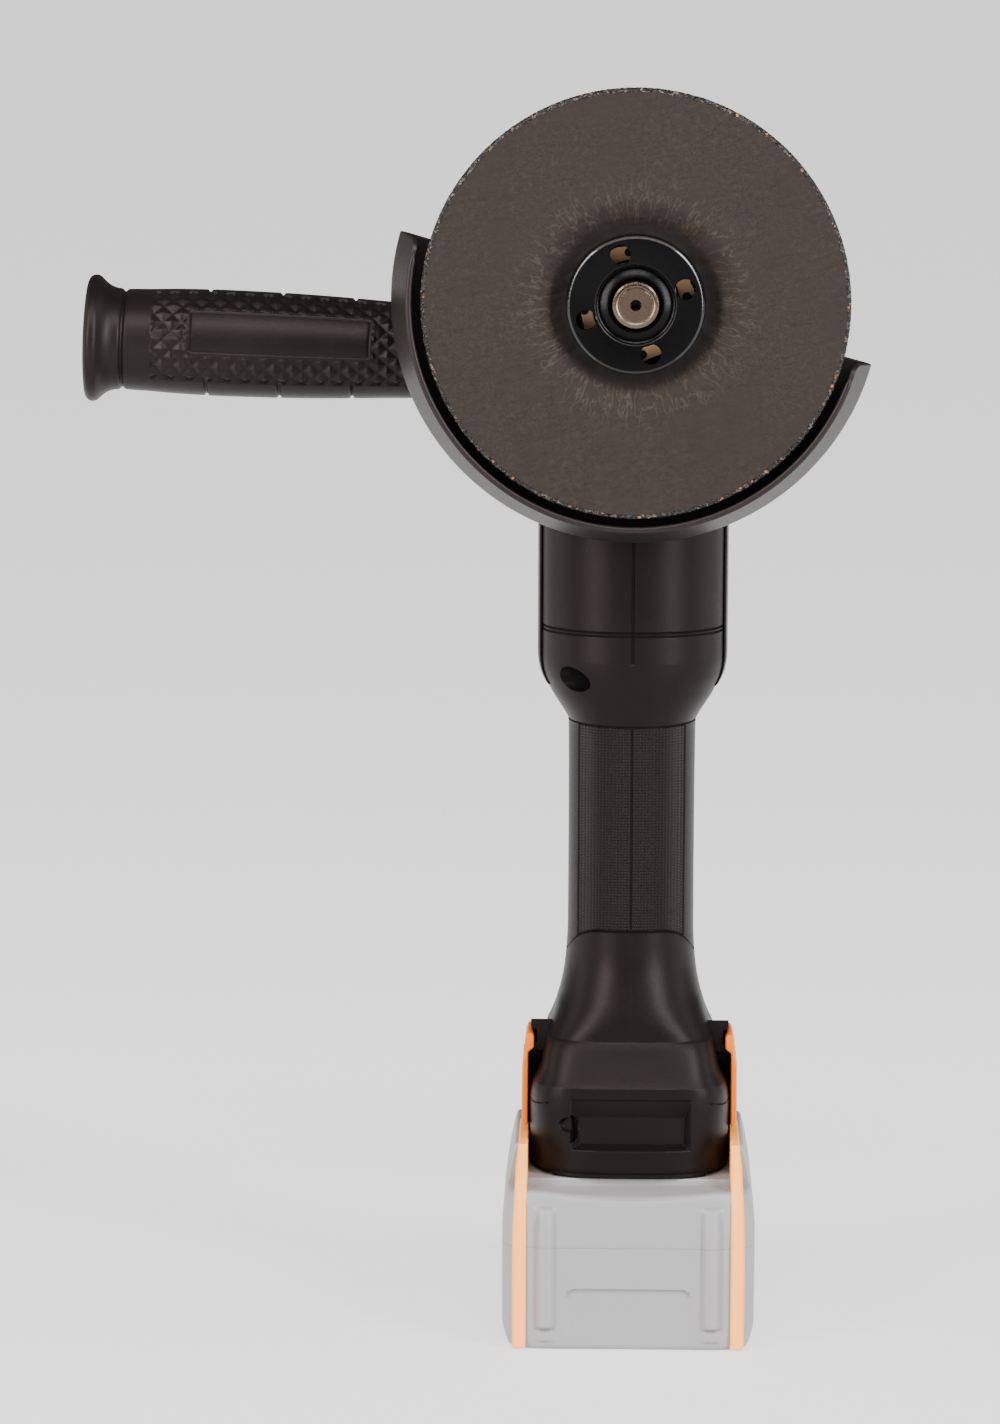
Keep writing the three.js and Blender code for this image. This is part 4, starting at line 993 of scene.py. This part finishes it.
def face_relief(ring, z):
    """Ribs and the shallow recess on the front of the case."""
    x, front = ring[:, 0], ring[:, 1] < -38
    rib = np.sqrt(np.clip(1 - ((np.abs(x) - RIB_X) / RIB_HALF) ** 2, 0, 1))
    reach = ramp((RIB_TOP - z) / 1.6) * ramp((z - RIB_LOW) / 0.9)
    tail = 0.45 * ramp((6.0 - z) / 0.5) * ramp((z - 2.4) / 0.5)
    proud = 1.9 * rib * (math.sqrt(reach) + tail)
    if z < RECESS_TOP:
        above = max(0.0, z - (RECESS_TOP - RECESS_R))
        half = RECESS_HALF - RECESS_R + math.sqrt(RECESS_R**2 - above**2)
        inside = 1 - smoothstep(half - 0.5, half, np.abs(x))
        proud = proud - 0.95 * smoothstep(-4.0, 12.0, z) * inside
    ring[:, 1] -= proud * front
    return ring


def case_part(part, stations, levels):
    """One half of the case. Its stations give height, half width and reach to the front and the back."""
    rings = []
    for z, half, front, back in zip(levels, *curve_values(stations, levels)):
        rings.append(face_relief(case_ring(half, front, back, CASE_POWER, z), z))
    faces = tube_faces(len(rings), len(rings[0]))
    return make(f"battery_case_{part}", rings, faces, PALE, "battery", f"battery_{part}", 34)


def battery():
    """The two case halves, the rail and deck under the foot, the side cheeks and the pale bars."""
    base, split = case_low[2], case_high[2]
    stations = [
        (base, 35.9, 45.4, 60.9), (base + 0.4, 36.3, 46.2, 61.8), (base + 1.4, 36.7, 46.9, 62.4),
        (base + 6.5, 37.9, 47, 62.5), (split - 0.3, 38, 47, 62.5), (split, 37.92, 46.92, 62.42),
    ]
    levels = np.concatenate([
        [0, 0.15, 0.4, 0.8, 1.4], np.arange(2, 8, 0.35), np.arange(8.4, 14, 0.8),
        np.arange(14.2, 19.2, 0.25), np.arange(20, split - 0.4, 1.5), [split - 0.3, split],
    ])
    case_part("lower", stations, levels)
    stations = [
        (split + 0.06, 37.92, 46.92, 62.42), (split + 0.4, 38, 47, 62.5), (36, 37.95, 46.95, 62.4),
        (40, 37.6, 46.6, 62.2), (44, 37.0, 46.0, 61.8), (46.4, 36.5, 45.4, 61.4), (47.2, 36.1, 44.9, 61),
        (47.65, 35.4, 44.2, 60.4), (47.8, 34.6, 43.4, 59.6),
    ]
    levels = np.concatenate([
        [split + 0.06, split + 0.4], np.arange(32.5, 41, 1.4), np.arange(41.2, 44, 0.2),
        [44.8, 45.6, 46.4, 46.8, 47.2, 47.45, 47.65, 47.8],
    ])
    upper = case_part("upper", stations, levels)
    scoop(upper)
    carve(upper, [cutter(box_mesh(-13.4, 13.4, 56.6, 80, 36.4, 60))])
    rail_top = span("battery_upper")[1][2]
    for name, sizes, width, steps in (
        ("deck", (-30.8, 30.8, -33.5, 40, 46.5, FOOT_Z - 1.5), 0.4, 2),
        ("rail_neck", (-20.6, 20.6, -17.5, 36, 46, 52.5), 0.6, 3),
        ("rail", (-25, 25, -17.5, 36, 52.3, rail_top), 0.6, 3),
    ):
        piece = moulded(f"battery_{name}", box_mesh(*sizes), PALE, "battery", width, steps)
    for side, sign in SIDES:
        place = sideways(sign)
        cheek = [(31.2, 44), (37.2, 44), (36.6, 48), (35.9, 52), (35.0, 56), (34.2, 58.6), (31.2, 58.6)]
        mesh = prism_mesh(cheek, -26, 26, place)
        moulded(f"battery_cheek_{side}", mesh, PALE, "battery", 0.8, 4)
        bar = [(BAR_INNER, 46), (34.1, 46), (34.0, 52), (33.5, 56), (33.1, 59.8), (BAR_INNER, 59.8)]
        mesh = prism_mesh(bar, -33.5, 6, place)
        moulded(f"battery_bar_top_{side}", mesh, PALE_ORANGE, "battery", 0.3)
        corner_strip(side, sign)


def scoop(case):
    """Lets the top of the case fall towards a curved front edge under the foot."""
    for vertex in case.data.vertices:
        x, y, z = (value / MM for value in vertex.co)
        if z > 44.5 and y < -36:
            fall = 1.6 * max(0.0, 1 - (x / 25.5) ** 2)
            share = float(smoothstep(-37, -44.2, y)) if z > 47.7 else float(smoothstep(44.5, 47.5, z))
            vertex.co.z -= fall * share * MM


def corner_strip(side, sign):
    """Pale bar up each front corner of the battery and along the foot."""
    path = [  # height, inner and outer edge, front
        (0.6, 30.5, 34.6, -47.6), (10, 30.5, 34.7, -47.6), (32, 30.5, 34.7, -47.5),
        (42, 30.5, 34.4, -46.6), (48, 30.4, 34.1, -44), (52, BAR_INNER, 33.9, -41),
        (56, BAR_INNER, 33.5, -37), (59.5, BAR_INNER, 33.1, -33),
    ]
    heights = np.linspace(path[0][0], path[-1][0], 70)
    rings = []
    for z, x0, x1, y in zip(heights, *curve_values(path, heights)):
        y += 0.25 * float(groove(z - 31.1, 0.5))
        outline = [
            (x0, y + 0.5), (x0 + 0.5, y), (x1 - 1.4, y + 0.05), (x1 - 0.4, y + 0.6), (x1, y + 1.8),
            (x1, y + 7), (x0, y + 7),
        ]
        rings.append([(sign * u, v, z) for u, v in outline])
    faces = tube_faces(len(rings), len(rings[0]))
    node = f"battery_strip_{side}"
    piece = make(f"battery_bar_{side}", rings, faces, PALE_ORANGE, "battery", node, 40)
    bevel(piece, 0.25, 2, 25)


# ---- gear head, and CAD nodes that stay ----

HEAD_FLOOR = SHELL_TOP + 0.3
HEAD_FRONT = -24.0
HEAD_HALF = 28
HEAD_TOP_R = 27.5
COVER_FACE = -32.0
COVER_HALF, COVER_R = 27, 7
COVER_SCREWS = [(x, z) for x in (-21.5, 21.5) for z in (-21.5, 21.5)]
LOCK_RISE = 11.0


def screw_rods(radius, low, high, segments):
    """One rod on the axis of each cover screw."""
    return [rod(radius, low, high, origin=spindle_origin(x, z), segments=segments) for x, z in COVER_SCREWS]


def gear_head():
    """The cast housing: an arched block on a flange, with handle bosses and screw pillars."""
    foot = HEAD_FLOOR - SPINDLE_Z
    arch = [(-HEAD_HALF, foot), (HEAD_HALF, foot), (HEAD_HALF, 4)]
    arch += arc(0, 0, HEAD_TOP_R, 20, 160, 56) + [(-HEAD_HALF, 4)]
    block = make("gear_head", *prism_mesh(arch, HEAD_FRONT, 30, facing), CAST, "tool", "gear_housing")
    slope = [(28.6 - 7.1 * smoothstep(0, 1, t), foot + 10 - (foot + 11) * t) for t in np.linspace(0, 1, 24)]
    side = [(HEAD_FRONT - 1, foot - 1), (28.6, foot - 1)] + slope + arc(11.5, 17.5, 10, 0, 90, 24)
    side.append((HEAD_FRONT - 1, HEAD_TOP_R))
    carve(block, [cutter(prism_mesh(side, -40, 40, lambda u, v, w: (w, u, SPINDLE_Z + v)))], "INTERSECT")
    crosswise = {"axis": (1, 0, 0), "origin": (0, 0, BOSS_Z)}
    joined = [head_flange(), rod(10, -31, 31, **crosswise, segments=80)]
    carve(block, joined + screw_rods(4.2, HEAD_FRONT, -12.5, 32), "UNION")
    lock = spindle_origin(0, LOCK_RISE)
    upwards = {"axis": (0, 0, 1), "origin": (0, 0, 0)}
    holes = [
        rod(22.5, -40, 5, segments=80),  # gears
        rod(8.3, 4, 14.3),  # rear spindle bearing
        rod(9, 265, SPINDLE_Z - 8, **upwards),  # pinion
        rod(11.3, 265, HEAD_FLOOR + 7.6, **upwards),  # upper motor bearing
        rod(2.1, 0, 30, origin=lock),  # lock pin
        rod(8.4, 14.8, 30, origin=lock),  # lock button
        rod(4.2, -18.8, 30, HANDLE_AXIS, HANDLE_ROOT),  # side handle
        rod(3.4, 23.5, 60, **crosswise),  # the same on the other side, empty
    ]
    carve(block, holes + screw_rods(2, -30, -13, 24))
    bevel(block, 0.45, 2)
    rim = [(x, -curve_reach(x, 27.3, 29.1, 2.1)) for x in np.linspace(-25, 25, 60)]
    cap = prism_mesh(rim + [(25, -20), (-25, -20)], SHELL_TOP - 2.4, SHELL_TOP - 0.3, upright)
    moulded("shell_top_cover", cap, SHELL, "tool", 0.3)


def head_flange():
    """The plate at the gear head's foot, on top of the shells."""
    rings = []
    for rise, inset in ((0, 0.3), (0.4, 0), (6.4, 0), (7, 0.5)):
        ring = case_ring(28.4 - inset, 28.6, 28.6 - inset, 5, HEAD_FLOOR + rise, 200)
        ring[:, 1] = np.maximum(ring[:, 1], HEAD_FRONT)
        rings.append(ring)
    return cutter((rings, tube_faces(len(rings), len(rings[0]))))


def bearing_cover():
    """The bolted plate in front of the gears, with the neck that carries the guard."""
    outline = []
    middle = COVER_HALF - COVER_R
    for sx, sy, start in ((1, 1, 0), (-1, 1, 90), (-1, -1, 180), (1, -1, 270)):
        outline += arc(middle * sx, middle * sy, COVER_R, start, start + 90, 12)
    mesh = prism_mesh(outline, COVER_FACE, HEAD_FRONT - 0.3, facing)
    plate = make("gear_cover", *mesh, CAST, "tool", "bearing_cover")
    carve(plate, [rod(20, -42, COVER_FACE + 1, segments=96)], "UNION")
    holes = [rod(17.8, -36.5, -20, segments=80), rod(8.2, -50, -30)]
    for shank, head in zip(screw_rods(2, -40, -20, 24), screw_rods(4, -40, -28.4, 32)):
        holes += [shank, head]
    carve(plate, holes)
    bevel(plate, 0.5, 3)


def dress_nodes():
    """Materials, and a small bevel in mm where it shows, on the CAD nodes that stay."""
    screws = " ".join(f"{part}_screw_{i}" for part in ("cover", "shell") for i in range(1, 5))
    for mat, width, names in (
        (OXIDE, 0.2, screws),
        (BRIGHT, 0, "ring_gear pinion motor_shaft rotor_core stator_core handle_core disc_bore_ring"),
        (BRIGHT, 0.2, "spindle_bearing_front spindle_bearing_rear motor_bearing_upper motor_bearing_lower"),
        (BRIGHT, 0, "clamp_screw lever_pin lock_spring latch_spring"),
        (OXIDE, 0.3, "inner_flange guard_band guard_lever"),
        (COPPER, 0, "winding_upper winding_lower motor_wires"),
        (BOARD, 0, "controller_board battery_board"),
        (SLEEVE, 0, "cell_row_lower cell_row_upper"),
        (DARK, 0, "fan fan_baffle switch_module terminal_block switch_rod"),
        (ORANGE, 0.5, "switch_slider lock_button"),
        (PALE_ORANGE, 0.5, "battery_latch"),
    ):
        for name in names.split():
            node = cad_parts[name]
            for slot in node.material_slots:
                slot.material = mat
            if not node.material_slots:
                node.data.materials.append(mat)
            if width:
                bevel(node, width, 2, 35)


# ---- floor, light and camera ----

CAMERA_PLACE = (-4.87, -1862.0, 438.9)
CAMERA_YAW, CAMERA_PITCH, CAMERA_ROLL = math.radians(-1.078), math.radians(7.74), math.radians(0.273)
CAMERA_LENS = 157.25
AIM = Vector((0, -0.03, 0.22))
FLOOR_HALF = 60


def studio():
    scene = bpy.context.scene
    scene.world = bpy.data.worlds.new("studio")
    scene.world.use_nodes = True
    background = scene.world.node_tree.nodes["Background"].inputs
    background["Color"].default_value = (1.0, 0.99, 0.98, 1)
    background["Strength"].default_value = 0.15
    floor_mesh = bpy.data.meshes.new("floor")
    corners = [(x * FLOOR_HALF, y * FLOOR_HALF, 0) for x, y in ((-1, -1), (1, -1), (1, 1), (-1, 1))]
    floor_mesh.from_pydata(corners, [], [(0, 1, 2, 3)])
    floor = bpy.data.objects.new("floor", floor_mesh)
    scene.collection.objects.link(floor)
    look = Look("floor_pale", (0.35, 0.35, 0.35), 0.8, specular=0.05)
    look.vary_roughness(look.noise(3), 0.6, 0.8)
    look.sockets["Emission Color"].default_value = (1, 0.995, 0.99, 1)
    look.sockets["Emission Strength"].default_value = 1.25
    floor_mesh.materials.append(look.mat)
    for name, place, size, power, tint in (
        ("left_box", (-1.38, -1.3, 0.9), (0.6, 1.8), 80, (1.0, 0.95, 0.92)),
        ("right_box", (1.42, -1.28, 0.9), (0.6, 1.8), 92, (0.95, 0.97, 1.0)),
        ("top_box", (0.0, -1.2, 1.6), (1.2, 0.5), 32, (1.0, 0.98, 0.97)),
        ("left_side", (-1.7, 0.3, 0.7), (0.8, 1.4), 12, (1.0, 0.92, 0.87)),
        ("right_side", (1.7, 0.3, 0.7), (0.8, 1.4), 12, (1.0, 0.94, 0.92)),
    ):
        data = bpy.data.lights.new(name, "AREA")
        data.shape = "RECTANGLE"
        data.size, data.size_y = size
        data.energy = power
        data.color = tint
        lamp = bpy.data.objects.new(name, data)
        lamp.location = place
        lamp.rotation_mode = "QUATERNION"
        lamp.rotation_quaternion = (AIM - Vector(place)).to_track_quat("-Z", "Y")
        scene.collection.objects.link(lamp)


def camera():
    """The photograph's camera: level and looking along +Y, then rolled, pitched down and turned."""
    data = bpy.data.cameras.new("camera")
    data.sensor_width = 36
    data.lens = CAMERA_LENS
    data.clip_start, data.clip_end = 0.05, 100
    cam = bpy.data.objects.new("camera", data)
    turns = ((-CAMERA_YAW, "Z"), (math.pi / 2 - CAMERA_PITCH, "X"), (CAMERA_ROLL, "Z"))
    matrix = Matrix.Translation(Vector(CAMERA_PLACE) * MM)
    for angle, axis in turns:
        matrix = matrix @ Matrix.Rotation(angle, 4, axis)
    cam.matrix_world = matrix
    bpy.context.scene.collection.objects.link(cam)
    bpy.context.scene.camera = cam


studio()
camera()
disc()
nut()
hub_label()
spindle()
guard()
handle()
for side_name, side_sign in SIDES:
    shell(side_name, side_sign)
    side_strip(side_name, side_sign)
    grip_pad(f"grip_pad_front_{side_name}", side_sign, True)
    grip_pad(f"grip_pad_back_{side_name}", side_sign, False)
screw_wells()
for side_name, side_sign in SIDES:
    tab_and_ear(side_name, side_sign)
foot_lip()
battery()
gear_head()
bearing_cover()
dress_nodes()
